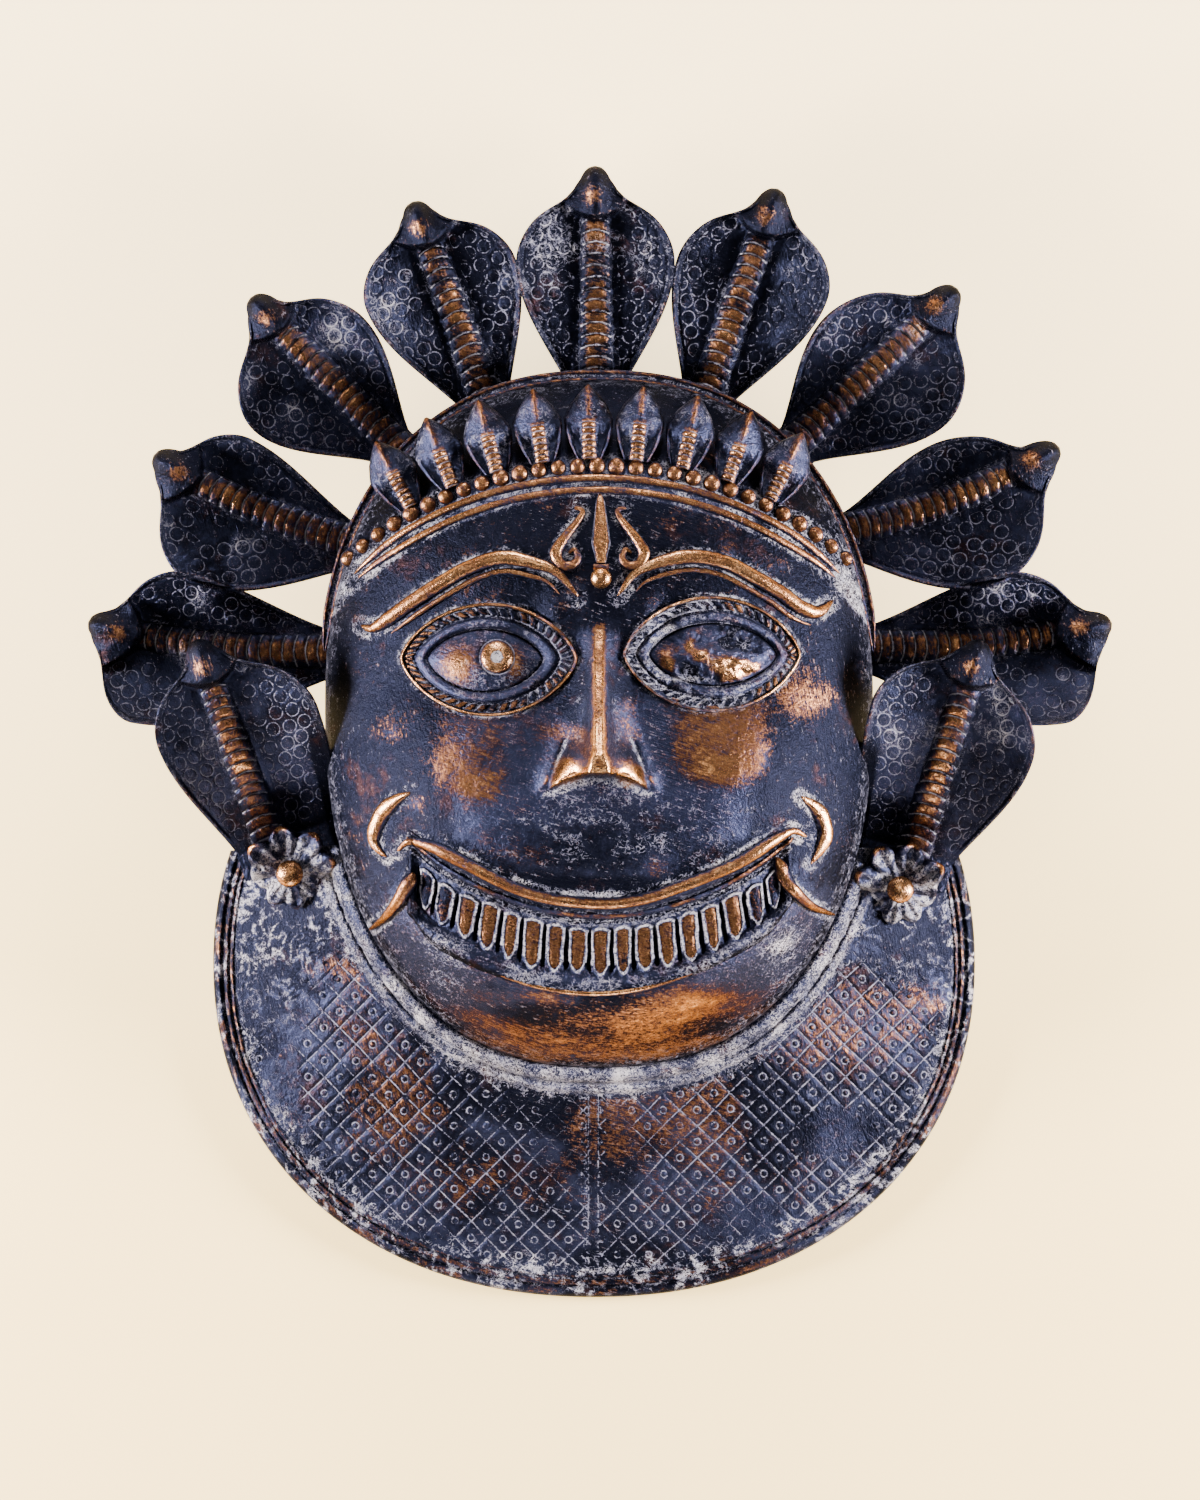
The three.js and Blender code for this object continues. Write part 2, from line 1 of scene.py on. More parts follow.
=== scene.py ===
# Looks of the bronze mask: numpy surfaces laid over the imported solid.
# Shapes are worked out in millimetres and become metres when a mesh is made.
import functools
import math
import bpy
import numpy as np
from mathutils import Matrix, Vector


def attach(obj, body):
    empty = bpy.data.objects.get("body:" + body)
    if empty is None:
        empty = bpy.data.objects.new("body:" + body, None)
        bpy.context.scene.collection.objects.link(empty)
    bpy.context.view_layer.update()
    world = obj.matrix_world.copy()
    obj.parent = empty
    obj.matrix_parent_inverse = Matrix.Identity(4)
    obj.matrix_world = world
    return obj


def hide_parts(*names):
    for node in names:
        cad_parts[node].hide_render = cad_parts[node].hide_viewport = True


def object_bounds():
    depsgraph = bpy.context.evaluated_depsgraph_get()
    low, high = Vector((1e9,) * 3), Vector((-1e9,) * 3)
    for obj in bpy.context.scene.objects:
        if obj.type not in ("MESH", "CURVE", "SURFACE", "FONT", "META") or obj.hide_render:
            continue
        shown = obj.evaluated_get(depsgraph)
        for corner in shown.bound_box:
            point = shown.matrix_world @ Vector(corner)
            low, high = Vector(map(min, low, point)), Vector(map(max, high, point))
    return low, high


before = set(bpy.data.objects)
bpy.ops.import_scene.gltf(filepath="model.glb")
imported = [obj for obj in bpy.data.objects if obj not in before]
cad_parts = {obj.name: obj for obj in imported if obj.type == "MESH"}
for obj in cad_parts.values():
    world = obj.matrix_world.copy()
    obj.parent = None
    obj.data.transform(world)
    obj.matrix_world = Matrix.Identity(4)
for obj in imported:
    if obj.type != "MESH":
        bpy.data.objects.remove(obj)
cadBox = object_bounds()
mm = 0.001
highest = cadBox[1].z / mm - 0.8       # nothing stands higher than the solid does, bump and noise included


# Small functions of arrays
def smooth(low, high, x):
    # 0 below low, 1 above high, and a smoothstep between them
    t = np.clip((x - low) / (high - low), 0, 1)
    return t * t * (3 - 2 * t)


def bell(distance, half):
    # e to the minus squared distance, measured in half widths
    return np.exp(-(distance / half) ** 2)


def bump(x, y, cx, cy, rx, ry):
    # a bell over the plane, rx wide and ry tall
    return np.exp(-((x - cx) / rx) ** 2 - ((y - cy) / ry) ** 2)


def most(*arrays):
    # the largest of several arrays, place by place
    return functools.reduce(np.maximum, arrays)


def toWhole(number):
    # distance to the nearest whole number, from 0 to a half
    return 0.5 - np.abs(number % 1 - 0.5)


def alternating(number):
    # 1 between even whole numbers and the next, -1 between odd ones and the next
    return 1 - 2 * (np.floor(number) % 2)


def roundRidge(distance, half):
    # a half circle across a line, 1 on the line and 0 at half to either side
    return np.sqrt(np.clip(1 - (distance / half) ** 2, 0, 1))


def cornerValue(i, j, seed):
    # a repeatable number from -1 to 1 for each corner of a square lattice
    n = i * 374761393 + j * 668265263 + seed * 974634777
    n = (n ^ (n >> 13)) * 1274126177
    return ((n ^ (n >> 16)) & 0xFFFF) / 32767.5 - 1


def noise(x, y, size, seed, octaves=3):
    # corner values blended by smoothstep, and finer layers of half the size and strength on top
    total = np.zeros(np.broadcast(x, y).shape)
    for k in range(octaves):
        u, v = x / size * 2 ** k, y / size * 2 ** k
        i, j = np.floor(u).astype(np.int64), np.floor(v).astype(np.int64)
        fu, fv = smooth(0, 1, u - i), smooth(0, 1, v - j)
        low = cornerValue(i, j, seed + k) * (1 - fu) + cornerValue(i + 1, j, seed + k) * fu
        high = cornerValue(i, j + 1, seed + k) * (1 - fu) + cornerValue(i + 1, j + 1, seed + k) * fu
        total += (low * (1 - fv) + high * fv) / 2 ** k
    return total


def curveThrough(points, count):
    # a Catmull-Rom curve through a few points, cut into equal steps of its own length
    p = np.array(points, float)
    p = np.concatenate([[2 * p[0] - p[1]], p, [2 * p[-1] - p[-2]]])
    t = np.linspace(0, 1, 12, endpoint=False)[None, :, None]
    a, b, c, d = (p[k:len(p) - 3 + k][:, None, :] for k in range(4))
    square, cube = 2 * a - 5 * b + 4 * c - d, 3 * b - a - 3 * c + d
    fine = 0.5 * (2 * b + (c - a) * t + square * t ** 2 + cube * t ** 3)
    fine = np.concatenate([fine.reshape(-1, p.shape[1]), p[-2:-1]])
    along = np.concatenate([[0], np.cumsum(np.linalg.norm(np.diff(fine, axis=0), axis=1))])
    steps = np.linspace(0, along[-1], count)
    return np.stack([np.interp(steps, along, fine[:, k]) for k in range(p.shape[1])], 1)


def nearCurve(x, y, line):
    # distance from each point to a line of short straight pieces, and how far along it the nearest place is
    best = np.full(x.shape, 1e6)
    share = np.zeros(x.shape)
    for k in range(len(line) - 1):
        (ax, ay), (bx, by) = line[k][:2], line[k + 1][:2]
        dx, dy = bx - ax, by - ay
        t = np.clip(((x - ax) * dx + (y - ay) * dy) / (dx * dx + dy * dy), 0, 1)
        d = np.hypot(x - ax - t * dx, y - ay - t * dy)
        share = np.where(d < best, (k + t) / (len(line) - 1), share)
        best = np.minimum(best, d)
    return best, share


# Grids, closed forms and meshes
def gridQuads(rows, cols, wrapRows=False):
    # four corners for each cell of a grid counted row by row; wrapped, the last row meets the first
    r = np.arange(rows if wrapRows else rows - 1)[:, None]
    c = np.arange(cols - 1)[None, :]
    after = (r + 1) % rows
    corners = (r * cols + c, r * cols + c + 1, after * cols + c + 1, after * cols + c)
    return np.stack(np.broadcast_arrays(*corners), -1).reshape(-1, 4)


def edgeLoop(rows, cols):
    # the vertices round the edge of a grid, one way round
    n = np.arange(rows * cols).reshape(rows, cols)
    return np.concatenate([n[0, :-1], n[:-1, -1], n[-1, :0:-1], n[:0:-1, 0]])


def stitched(fine, coarse, step):
    # triangles between a loop of vertices and a loop with one vertex for every step of the first
    half = step // 2
    i = np.arange(len(fine))
    apex = coarse[(i // step + (i % step >= half)) % len(coarse)]
    k = np.arange(len(coarse))
    sides = np.stack([fine, apex, np.roll(fine, -1)], 1)
    return np.concatenate([sides, np.stack([fine[k * step + half], coarse, np.roll(coarse, -1)], 1)])


def gridNormals(p):
    # the cross product of the two grid directions
    n = np.cross(np.gradient(p, axis=1), np.gradient(p, axis=0))
    return n / np.maximum(np.linalg.norm(n, axis=2, keepdims=True), 1e-9)


def blur(a, k):
    # the mean of a square of 2k + 1 grid points, the edges carried on straight
    for axis in (0, 1):
        pad = [(0, 0)] * a.ndim
        pad[axis] = (k + 1, k)
        total = np.cumsum(np.pad(a, pad, mode="reflect", reflect_type="odd"), axis=axis)
        n = a.shape[axis]
        high = np.take(total, np.arange(n) + 2 * k + 1, axis=axis)
        a = (high - np.take(total, np.arange(n), axis=axis)) / (2 * k + 1)
    return a


def standing(p, k):
    # how far each point stands out from the mean of its neighbours, in millimetres
    return np.sum((p - blur(p, k)) * gridNormals(p), axis=2)


# the first three masks are shares: rubbed bronze and painted highlights, dust and painted sheen, dark patina
# and painted shade; mark is the signed distance to an incised line in millimetres
maskNames = {"polish": 0, "chalk": 0, "dark": 0, "mark": 9}


def form(points, quads=(), tris=(), **masks):
    # vertices, faces and one value a vertex for each mask
    n = len(points)
    made = {"points": np.asarray(points, float), "quads": np.array(quads, int).reshape(-1, 4)}
    made["tris"] = np.array(tris, int).reshape(-1, 3)
    for name, plain in maskNames.items():
        value = np.broadcast_to(np.asarray(masks.get(name, plain), float).ravel(), (n,))
        made[name] = value if name == "mark" else np.clip(value, 0, 1)
    return made


def joined(forms):
    # several forms as one, their face numbers moved on past the vertices before them
    starts = np.cumsum([0] + [len(f["points"]) for f in forms])
    made = {k: np.concatenate([f[k] for f in forms]) for k in ("points", *maskNames)}
    for k in ("quads", "tris"):
        made[k] = np.concatenate([f[k] + s for f, s in zip(forms, starts)])
    return made


underMasks = {"polish": 0.05, "chalk": 0.15, "dark": 0.5, "mark": 9}      # the plain hidden sides


def slab(top, under, step, **masks):
    # a fine grid above a coarse one, closed round the edge
    rows, cols = top.shape[:2]
    low = under.shape[:2]
    count = rows * cols
    quads = np.concatenate([gridQuads(rows, cols), gridQuads(*low)[:, ::-1] + count])
    tris = stitched(edgeLoop(rows, cols), edgeLoop(*low) + count, step)
    points = np.concatenate([top.reshape(-1, 3), under.reshape(-1, 3)])
    both = {k: np.concatenate([v.ravel(), np.full(low[0] * low[1], underMasks[k])]) for k, v in masks.items()}
    return form(points, quads, tris, **both)


def ringSlab(top, under, step, **masks):
    # the same for round grids: rows go round, columns go out from a middle point that they share
    rows, cols = top.shape[:2]
    low = under.shape[:2]
    count = rows * cols
    keep = np.concatenate([[0], np.flatnonzero(np.arange(count) % cols)])
    lowKeep = np.concatenate([[0], np.flatnonzero(np.arange(low[0] * low[1]) % low[1])])
    number = np.zeros(count, int)
    number[keep] = np.arange(len(keep))
    lowNumber = np.zeros(low[0] * low[1], int)
    lowNumber[lowKeep] = np.arange(len(lowKeep)) + len(keep)
    lowNumber[np.arange(low[0]) * low[1]] = len(keep)
    upper = number[gridQuads(rows, cols, True)]
    lower = lowNumber[gridQuads(low[0], low[1], True)[:, ::-1]]
    quads, tris = [], []
    for part in (upper, lower):
        closed = (part == np.roll(part, 1, axis=1)).any(axis=1)
        quads.append(part[~closed])
        for face in part[closed]:
            tris.append([v for i, v in enumerate(face) if v != face[i - 1]])
    outer = number[np.arange(rows) * cols + cols - 1]
    edge = stitched(outer, lowNumber[np.arange(low[0]) * low[1] + low[1] - 1], step)
    points = np.concatenate([top.reshape(-1, 3)[keep], under.reshape(-1, 3)[lowKeep]])
    both = {k: np.concatenate([v.ravel()[keep], np.full(len(lowKeep), maskNames[k])])
            for k, v in masks.items()}
    return form(points, np.concatenate(quads), np.concatenate([np.array(tris), edge]), **both)


def tube(path, normals, section, scale=1, **masks):
    # a closed section of across and up carried along a path, up along the normals, its ends closed to a point
    n, m = len(path), len(section)
    ahead = np.gradient(path, axis=0)
    across = np.cross(ahead, normals)
    across /= np.linalg.norm(across, axis=1, keepdims=True)
    size = np.broadcast_to(np.asarray(scale, float), (n,))[:, None, None]
    side, up = section[None, :, :1] * size, section[None, :, 1:] * size
    points = path[:, None, :] + across[:, None, :] * side + normals[:, None, :] * up
    quads = gridQuads(m, n, True)
    quads = (quads % n) * m + quads // n
    ends = [np.stack([np.full(m, n * m + e), np.arange(m) + row, np.roll(np.arange(m), -1) + row], 1)
            for e, row in ((0, 0), (1, (n - 1) * m))]
    middle = points.mean(axis=1)[[0, -1]]
    tris = np.concatenate([ends[0], ends[1][:, ::-1]])
    laid = {k: np.concatenate([np.broadcast_to(v, (n, m)).ravel(), [0.2, 0.2]]) for k, v in masks.items()}
    return form(np.concatenate([points.reshape(-1, 3), middle]), quads, tris, **laid)


def ball(x, y, z, rx, ry, rz, across=16, down=10, **masks):
    # latitude and longitude circles with one point at each pole
    a = np.arange(across) / across * 2 * np.pi
    b = (np.arange(1, down) / down * np.pi)[:, None]
    ring = np.stack(np.broadcast_arrays(np.sin(b) * np.cos(a), np.sin(b) * np.sin(a), np.cos(b)), -1)
    points = np.concatenate([ring.reshape(-1, 3), [[0, 0, 1], [0, 0, -1]]])
    c, after, poles = np.arange(across), (np.arange(across) + 1) % across, (down - 1) * across
    start = np.arange(down - 2)[:, None] * across
    corners = np.broadcast_arrays(start + c, start + across + c, start + across + after, start + after)
    quads = np.stack(corners, -1).reshape(-1, 4)
    north, south = np.full(across, poles), np.full(across, poles + 1)
    last = poles - across
    tris = np.concatenate([np.stack([north, c, after], 1), np.stack([south, last + after, last + c], 1)])
    return form(points * (rx, ry, rz) + (x, y, z), quads, tris, **masks)


def picked(shape, step):
    # every step-th row and column of a grid
    return np.ix_(range(0, shape[0], step), range(0, shape[1], step))


sharpAngle = 60      # degrees


def makePiece(name, shape, material):
    # the mesh of a closed form, turned the right way out, with its masks as vertex attributes
    quads, tris, points = shape["quads"], shape["tris"], shape["points"]
    triangles = np.concatenate([quads[:, :3], quads[:, [0, 2, 3]], tris])
    a, b, c = (points[triangles[:, k]] for k in range(3))
    if np.sum(a * np.cross(b, c)) < 0:
        quads, tris = quads[:, ::-1], tris[:, ::-1]
    corners = np.concatenate([quads.ravel(), tris.ravel()])
    sizes = np.concatenate([np.full(len(quads), 4), np.full(len(tris), 3)])
    mesh = bpy.data.meshes.new(name)
    mesh.vertices.add(len(points))
    mesh.loops.add(len(corners))
    mesh.polygons.add(len(sizes))
    mesh.vertices.foreach_set("co", (points * mm).astype(np.float32).ravel())
    mesh.loops.foreach_set("vertex_index", corners.astype(np.int32))
    mesh.polygons.foreach_set("loop_start", (np.cumsum(sizes) - sizes).astype(np.int32))
    for mask in maskNames:
        mesh.attributes.new(mask, "FLOAT", "POINT").data.foreach_set("value", shape[mask].astype(np.float32))
    mesh.update(calc_edges=True)
    mesh.validate()
    mesh.shade_smooth()
    mesh.set_sharp_from_angle(angle=math.radians(sharpAngle))
    piece = bpy.data.objects.new(name, mesh)
    bpy.context.scene.collection.objects.link(piece)
    mesh.materials.append(material)
    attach(piece, "root")
    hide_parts("mask")
    print(name, len(triangles), "triangles")


# Materials
class Value:
    # a socket that Python's signs work on: each sign adds a Math node
    def __init__(self, sheet, socket):
        self.sheet, self.socket = sheet, socket

    def __add__(self, other):
        return self.sheet.math("ADD", self, other)

    def __sub__(self, other):
        return self.sheet.math("SUBTRACT", self, other)

    def __rsub__(self, other):
        return self.sheet.math("SUBTRACT", other, self)

    def __mul__(self, other):
        return self.sheet.math("MULTIPLY", self, other)

    __radd__ = __add__
    __rmul__ = __mul__


class Sheet:
    # the node sheet of one material
    def __init__(self, name):
        self.material = bpy.data.materials.new(name)
        self.material.use_nodes = True
        self.tree = self.material.node_tree
        self.shader = self.tree.nodes["Principled BSDF"]

    def node(self, kind, settings=None, sockets=None, out=0):
        n = self.tree.nodes.new("ShaderNode" + kind)
        for key, value in (settings or {}).items():
            setattr(n, key, value)
        for key, value in (sockets or {}).items():
            self.put(n.inputs[key], value)
        return Value(self, n.outputs[out])

    def put(self, socket, value):
        if isinstance(value, Value):
            self.tree.links.new(value.socket, socket)
        else:
            socket.default_value = value

    def math(self, operation, a, b):
        return self.node("Math", {"operation": operation}, {0: a, 1: b})

    def clamp(self, a):
        return self.node("Clamp", None, {"Value": a})

    def absolute(self, a):
        return self.math("ABSOLUTE", a, 0)

    def step(self, a, low, high):
        sockets = {"Value": a, "From Min": low, "From Max": high}
        return self.node("MapRange", {"interpolation_type": "SMOOTHSTEP"}, sockets)

    def mix(self, share, a, b):
        return self.node("Mix", {"data_type": "RGBA"}, {0: share, 6: a, 7: b}, out=2)

    def between(self, share, a, b):
        return self.node("Mix", {"data_type": "FLOAT"}, {0: share, 2: a, 3: b})

    def grain(self, place, size, detail=3, rough=0.6, warp=0):
        return self.node("TexNoise", None, {"Vector": place, "Scale": 1 / (size * mm), "Detail": detail,
                                            "Roughness": rough, "Distortion": warp})

    def stretched(self, place, scale):
        return self.node("VectorMath", {"operation": "MULTIPLY"}, {0: place, 1: scale})

    def turned(self, place, angle):
        return self.node("VectorRotate", {"rotation_type": "Z_AXIS"}, {"Vector": place, "Angle": angle})

    def mask(self, name):
        return self.node("Attribute", {"attribute_name": name}, out=2)


patina = {
    "black": (0.004, 0.0045, 0.009, 1), "blue": (0.026, 0.029, 0.056, 1), "lilac": (0.165, 0.152, 0.24, 1),
    "brown": (0.075, 0.022, 0.006, 1), "bronze": (0.32, 0.138, 0.052, 1), "bright": (0.86, 0.44, 0.19, 1),
    "dust": (0.2, 0.19, 0.24, 1), "cream": (0.5, 0.45, 0.44, 1),
    "metal": 0.85, "roughness": 0.33, "bronzeRoughness": 0.24, "dustRoughness": 0.8,
    "edgeTint": (0.14, 0.14, 0.19, 1), "bumpHeight": 0.0006, "bumpStrength": 0.85,
    "lineHalf": 0.1, "lineFade": 0.5,      # millimetres either side of an incised line
    "strandsFrom": 0.05, "strandsTo": 0.11, "strokeTurn": 0.3, "strandTurn": -0.25, "thin": 0.12,
}
grains = {      # size in millimetres, layers, roughness and warp of each noise
    "clouds": (26, 4, 0.6, 0), "mottle": (5, 5, 0.7, 0.4), "flecks": (1.6, 3, 0.7, 0),
    "specks": (0.7, 2, 0.6, 0),
    "curls": (2.8, 1, 0.5, 0.9), "hairs": (0.9, 3, 0.6, 0.3),
}


def patinaMaterial():
    # blue-black patina, rubbed to bronze where the first mask is high and dusted where the second is high or
    # a line is cut; these masks carry painted highlights and painted sheen too
    p = patina
    s = Sheet("patinatedBronze")
    place = s.node("TexCoord", out=3)
    polish, chalk, dark, mark = (s.mask(name) for name in maskNames)
    first = list(grains.values())[:5]
    clouds, mottle, flecks, specks, curls = (s.grain(place, *size) - 0.5 for size in first)
    # scratches run down the sides of the mask and across its middle
    across = s.absolute(s.node("SeparateXYZ", None, {0: place}))
    strokes = s.grain(s.stretched(s.turned(place, p["strokeTurn"]), (p["thin"], 1, 1)), *grains["hairs"])
    strands = s.grain(s.stretched(s.turned(place, p["strandTurn"]), (1, p["thin"], 1)), *grains["hairs"])
    scratch = s.between(s.step(across, p["strandsFrom"], p["strandsTo"]), strokes, strands) - 0.5
    cut = 1 - s.step(s.absolute(mark), p["lineHalf"], p["lineFade"])
    cut = cut * s.step(flecks + mottle * 0.8 + clouds * 0.4 - dark * 0.2, -0.26, -0.06)

    # the patina itself: black to blue, blacker under the dark mask with its dark patina and painted shade,
    # scuffed lilac and a little rust
    ground = s.mix(s.step(mottle * 0.5 + clouds * 0.5 + dark * 0.5, -0.1, 0.3), p["blue"], p["black"])
    scuff = flecks + specks * 0.7 + mottle * 0.6 + clouds * 0.3 + scratch * 0.6 - dark * 0.4
    scuff = s.step(scuff, 0.06, 0.34)
    ground = s.mix(scuff * (0.85 - dark * 0.76), ground, p["lilac"])
    ground = s.mix(s.step(clouds + mottle * 0.6, 0.08, 0.24) * 0.2, ground, p["brown"])

    # brown where it is half worn, bronze where it is rubbed through and at painted highlights
    rough = mottle * 0.7 + flecks * 0.9 + scratch * 1.1 + specks * 0.5
    worn = s.step(polish + rough - dark * 0.25, 0.05, 0.6)
    rubbed = s.step(polish + rough, 0.25, 1.0)
    metal = s.mix(s.step(polish + specks * 1.2 + mottle * 1.2, 0.6, 1.3), p["bronze"], p["bright"])
    skin = s.mix(rubbed, s.mix(worn * 0.85, ground, p["brown"]), metal)

    # dust: crusts in the hollows and lines, loose flecks and curls elsewhere, and painted sheen in dust
    # colour
    crust = s.step(chalk + cut * 0.9 + flecks * 1.6 + specks * 1.6, 0.6, 0.88)
    squiggle = 1 - s.step(s.absolute(curls), 0.012, 0.05)
    squiggle = squiggle * s.step(mottle + flecks * 0.5 + chalk * 0.8, 0.1, 0.32)
    loose = s.step(scratch * 1.6 + specks * 0.6 + mottle * 0.6 + chalk * 0.15, 0.28, 0.36)
    loose = s.math("MAXIMUM", loose, squiggle) * (1 - rubbed * 0.9)
    dusted = s.clamp(crust * 0.85 + loose * 0.6)
    dust = s.mix(s.step(chalk + cut * 0.2 + mottle * 1.4, 0.35, 0.95), p["dust"], p["cream"])

    bare = rubbed * (p["bronzeRoughness"] - p["roughness"]) + p["roughness"] + mottle * 0.2 + scuff * 0.1
    height = (flecks * 0.8 + specks * 0.5 + mottle * 0.9 + scratch * 0.9) * (1 - rubbed * 0.7)
    height = height + dusted * 0.3 - cut * 0.6
    relief = {"Height": height, "Distance": p["bumpHeight"], "Strength": p["bumpStrength"]}
    into = s.shader.inputs
    s.put(into["Base Color"], s.mix(dusted, skin, dust))
    s.put(into["Specular Tint"], p["edgeTint"])
    s.put(into["Metallic"], (1 - dusted) * (rubbed * (1 - p["metal"]) + p["metal"]))
    s.put(into["Roughness"], bare * (1 - dusted) + dusted * p["dustRoughness"])
    s.put(into["Normal"], s.node("Bump", None, relief))
    return s.material


# Face: an egg-shaped dome on a straight side wall, with its broad forms
face = {
    "x": -0.5, "y": 14.5, "halfWidth": 137.5, "up": 164, "down": 182.5, "squareness": 2.3,
    "wallTop": 46, "top": 118, "fullness": 2.6, "edge": 0.62, "wall": 5, "drop": 8,
    "steps": 360, "coarse": 5, "tiles": (0, 115, 245, 360), "wallShare": 0.03, "crowding": 1.12,
    "innerDrop": 6.5, "sink": 2.6,
    "socketDepth": 7, "ballHeight": 6.5, "openingDepth": 2, "ballRound": 0.5,
    "cheekX": 76, "cheekY": -26, "cheekReach": (44, 44), "cheekHeight": 9,
    "muzzleY": -62, "muzzleReach": (92, 34), "muzzleHeight": 10,
    "chinY": -137, "chinHalfHeight": 24, "chinHeight": 15,
}
eyes = {
    "leftEye": {"x": -55, "y": 37.5, "half": 43, "up": 26, "down": 27.5,
                "inX": -57, "inY": 37, "inHalf": 29, "inUp": 15, "inDown": 16.5,
                "irisX": -51, "irisY": 38, "worn": 0},
    "rightEye": {"x": 55.5, "y": 39.5, "half": 43, "up": 27.5, "down": 27.5,
                 "inX": 56, "inY": 39, "inHalf": 32, "inUp": 16, "inDown": 15.5,
                 "irisX": 52, "irisY": 38, "worn": 1},
}
mouth = {
    "lipY": -83.5, "lipCurve": 0.0042, "halfWidth": 97, "chinX": -3, "chinY": -128.5, "chinCurve": 0.0046,
    "depth": 4, "lean": 0.3,
    "teeth": 17, "pitch": 10.5, "toothWidth": 6.2, "toothTop": 13.5, "toothEnd": 34.5,
}
nose = {      # rise and half widths at some heights down the face
    "y": (62, 40, 15, -8, -20, -30), "height": (0, 9, 20, 30, 35, 35),
    "bridge": (4.6, 4.8, 5.2, 6.5, 8, 8), "base": (9, 10, 12, 14, 16, 16.5),
    "footY": -20, "footDrop": 7.5, "footHalf": 24, "tipHeight": 3, "grooveDepth": 0.9, "foldDepth": 3.6,
    "wing": [(6, -4), (13, -14), (20, -24)], "wingHalf": 6.5, "wingHeight": 9,
}


def faceRatio(x, y):
    # 0 in the middle and 1 on the outline: a superellipse whose lower half is longer
    down = np.where(y < face["y"], face["down"], face["up"])
    n = face["squareness"]
    return (np.abs((x - face["x"]) / face["halfWidth"]) ** n + np.abs((y - face["y"]) / down) ** n) ** (1 / n)


def facePoint(angle, ratio, grow=0):
    # the place at a share of the way from the middle to the outline, and some millimetres further out
    c, s = np.cos(angle), np.sin(angle)
    reach = 1 / faceRatio(face["x"] + c, face["y"] + s) * ratio + grow
    return face["x"] + c * reach, face["y"] + s * reach


def dome(ratio):
    # falls from the top to the wall along a rounded edge
    share = (1 - np.clip(ratio, 0, 1) ** face["fullness"]) ** face["edge"]
    return face["wallTop"] + (face["top"] - face["wallTop"]) * share


def almondLevel(x, y, cx, cy, half, up, down):
    # under 1 inside a lens with two pointed ends
    tall = np.where(y > cy, up, down)
    return np.abs((x - cx) / half) ** 2 + np.abs((y - cy) / tall) ** 1.48


def innerLevel(x, y, eye):
    return almondLevel(x, y, eye["inX"], eye["inY"], eye["inHalf"], eye["inUp"], eye["inDown"])


def outerLevel(x, y, eye, less=0):
    return almondLevel(x, y, eye["x"], eye["y"], eye["half"] - less, eye["up"] - less, eye["down"] - less)


def lipLine(x):
    return mouth["lipY"] + mouth["lipCurve"] * x * x


def chinLine(x):
    return mouth["chinY"] + mouth["chinCurve"] * (x - mouth["chinX"]) ** 2


def noseForm(x, y):
    # a narrow bell for the bridge on a broad one, both growing towards the tip, with a bell for each wing
    down = [-v for v in nose["y"]]
    rise, bridge, base = (np.interp(-y, down, nose[k]) for k in ("height", "bridge", "base"))
    across = np.abs(x - face["x"])
    z = rise * (0.42 * np.exp(-(across / bridge) ** 2.8) + 0.58 * bell(across, base))
    z = z + nose["tipHeight"] * bump(x, y, 1, -17, 8, 8)
    z = z - nose["grooveDepth"] * bell(across, 0.9) * smooth(-12, 0, y)
    far, share = nearCurve(across, y, nose["wing"])
    z = z + nose["wingHeight"] * bell(far, nose["wingHalf"]) * smooth(-0.2, 0.6, share)
    z = z - nose["foldDepth"] * bell(across - 26 + 0.37 * (y + 30), 2.2) * smooth(2, -9, y)
    outward = np.minimum(across, 1.2 * nose["footHalf"]) / nose["footHalf"]
    foot = nose["footY"] - nose["footDrop"] * outward ** 2
    return z * smooth(foot - 1.6, foot + 1.4, y) * smooth(64, 40, y)


def faceForm(x, y):
    # the dome with sockets, eyeballs, cheeks, muzzle, mouth, chin and nose
    ratio = faceRatio(x, y)
    z = dome(ratio)
    for eye in eyes.values():
        z = z - face["socketDepth"] * bump(x, y, eye["x"], eye["y"], eye["half"], eye["up"])
        level = innerLevel(x, y, eye)
        z = z - face["openingDepth"] * smooth(1.15, 0.75, level)
        z = z + (face["ballHeight"] + face["openingDepth"]) * np.clip(1 - level, 0, 1) ** face["ballRound"]
    for side in (-1, 1):
        z = z - 4.5 * bump(x, y, side * 33, 47, 15, 17) + 3.5 * bump(x, y, side * 22, 58, 8, 12)
        z = z + face["cheekHeight"] * bump(x, y, side * face["cheekX"], face["cheekY"], *face["cheekReach"])
    z = z + face["muzzleHeight"] * bump(x, y, 0, face["muzzleY"], *face["muzzleReach"])
    below = y - chinLine(x) + (mouth["chinY"] - face["chinY"])
    z = z + face["chinHeight"] * bell(below, face["chinHalfHeight"]) * (1 - np.clip(ratio, 0, 1) ** 8)
    lip, chin = lipLine(x), chinLine(x)
    inside = smooth(lip - 1, lip - 6, y) * smooth(chin - 1, chin + 6, y)
    z = z - mouth["depth"] * inside * smooth(mouth["halfWidth"] - 1, mouth["halfWidth"] - 8, np.abs(x))
    return np.minimum(z + noseForm(x, y), highest)


def faceHeight(x, y):
    # the form's height at one place
    return faceForm(np.array([x]), np.array([y]))[0]


def faceNormals(x, y):
    # from the slope of the form over one millimetre each way
    dx = (faceForm(x + 1, y) - faceForm(x - 1, y)) / 2
    dy = (faceForm(x, y + 1) - faceForm(x, y - 1)) / 2
    n = np.stack([-dx, -dy, np.ones_like(dx)], -1)
    return n / np.linalg.norm(n, axis=-1, keepdims=True)


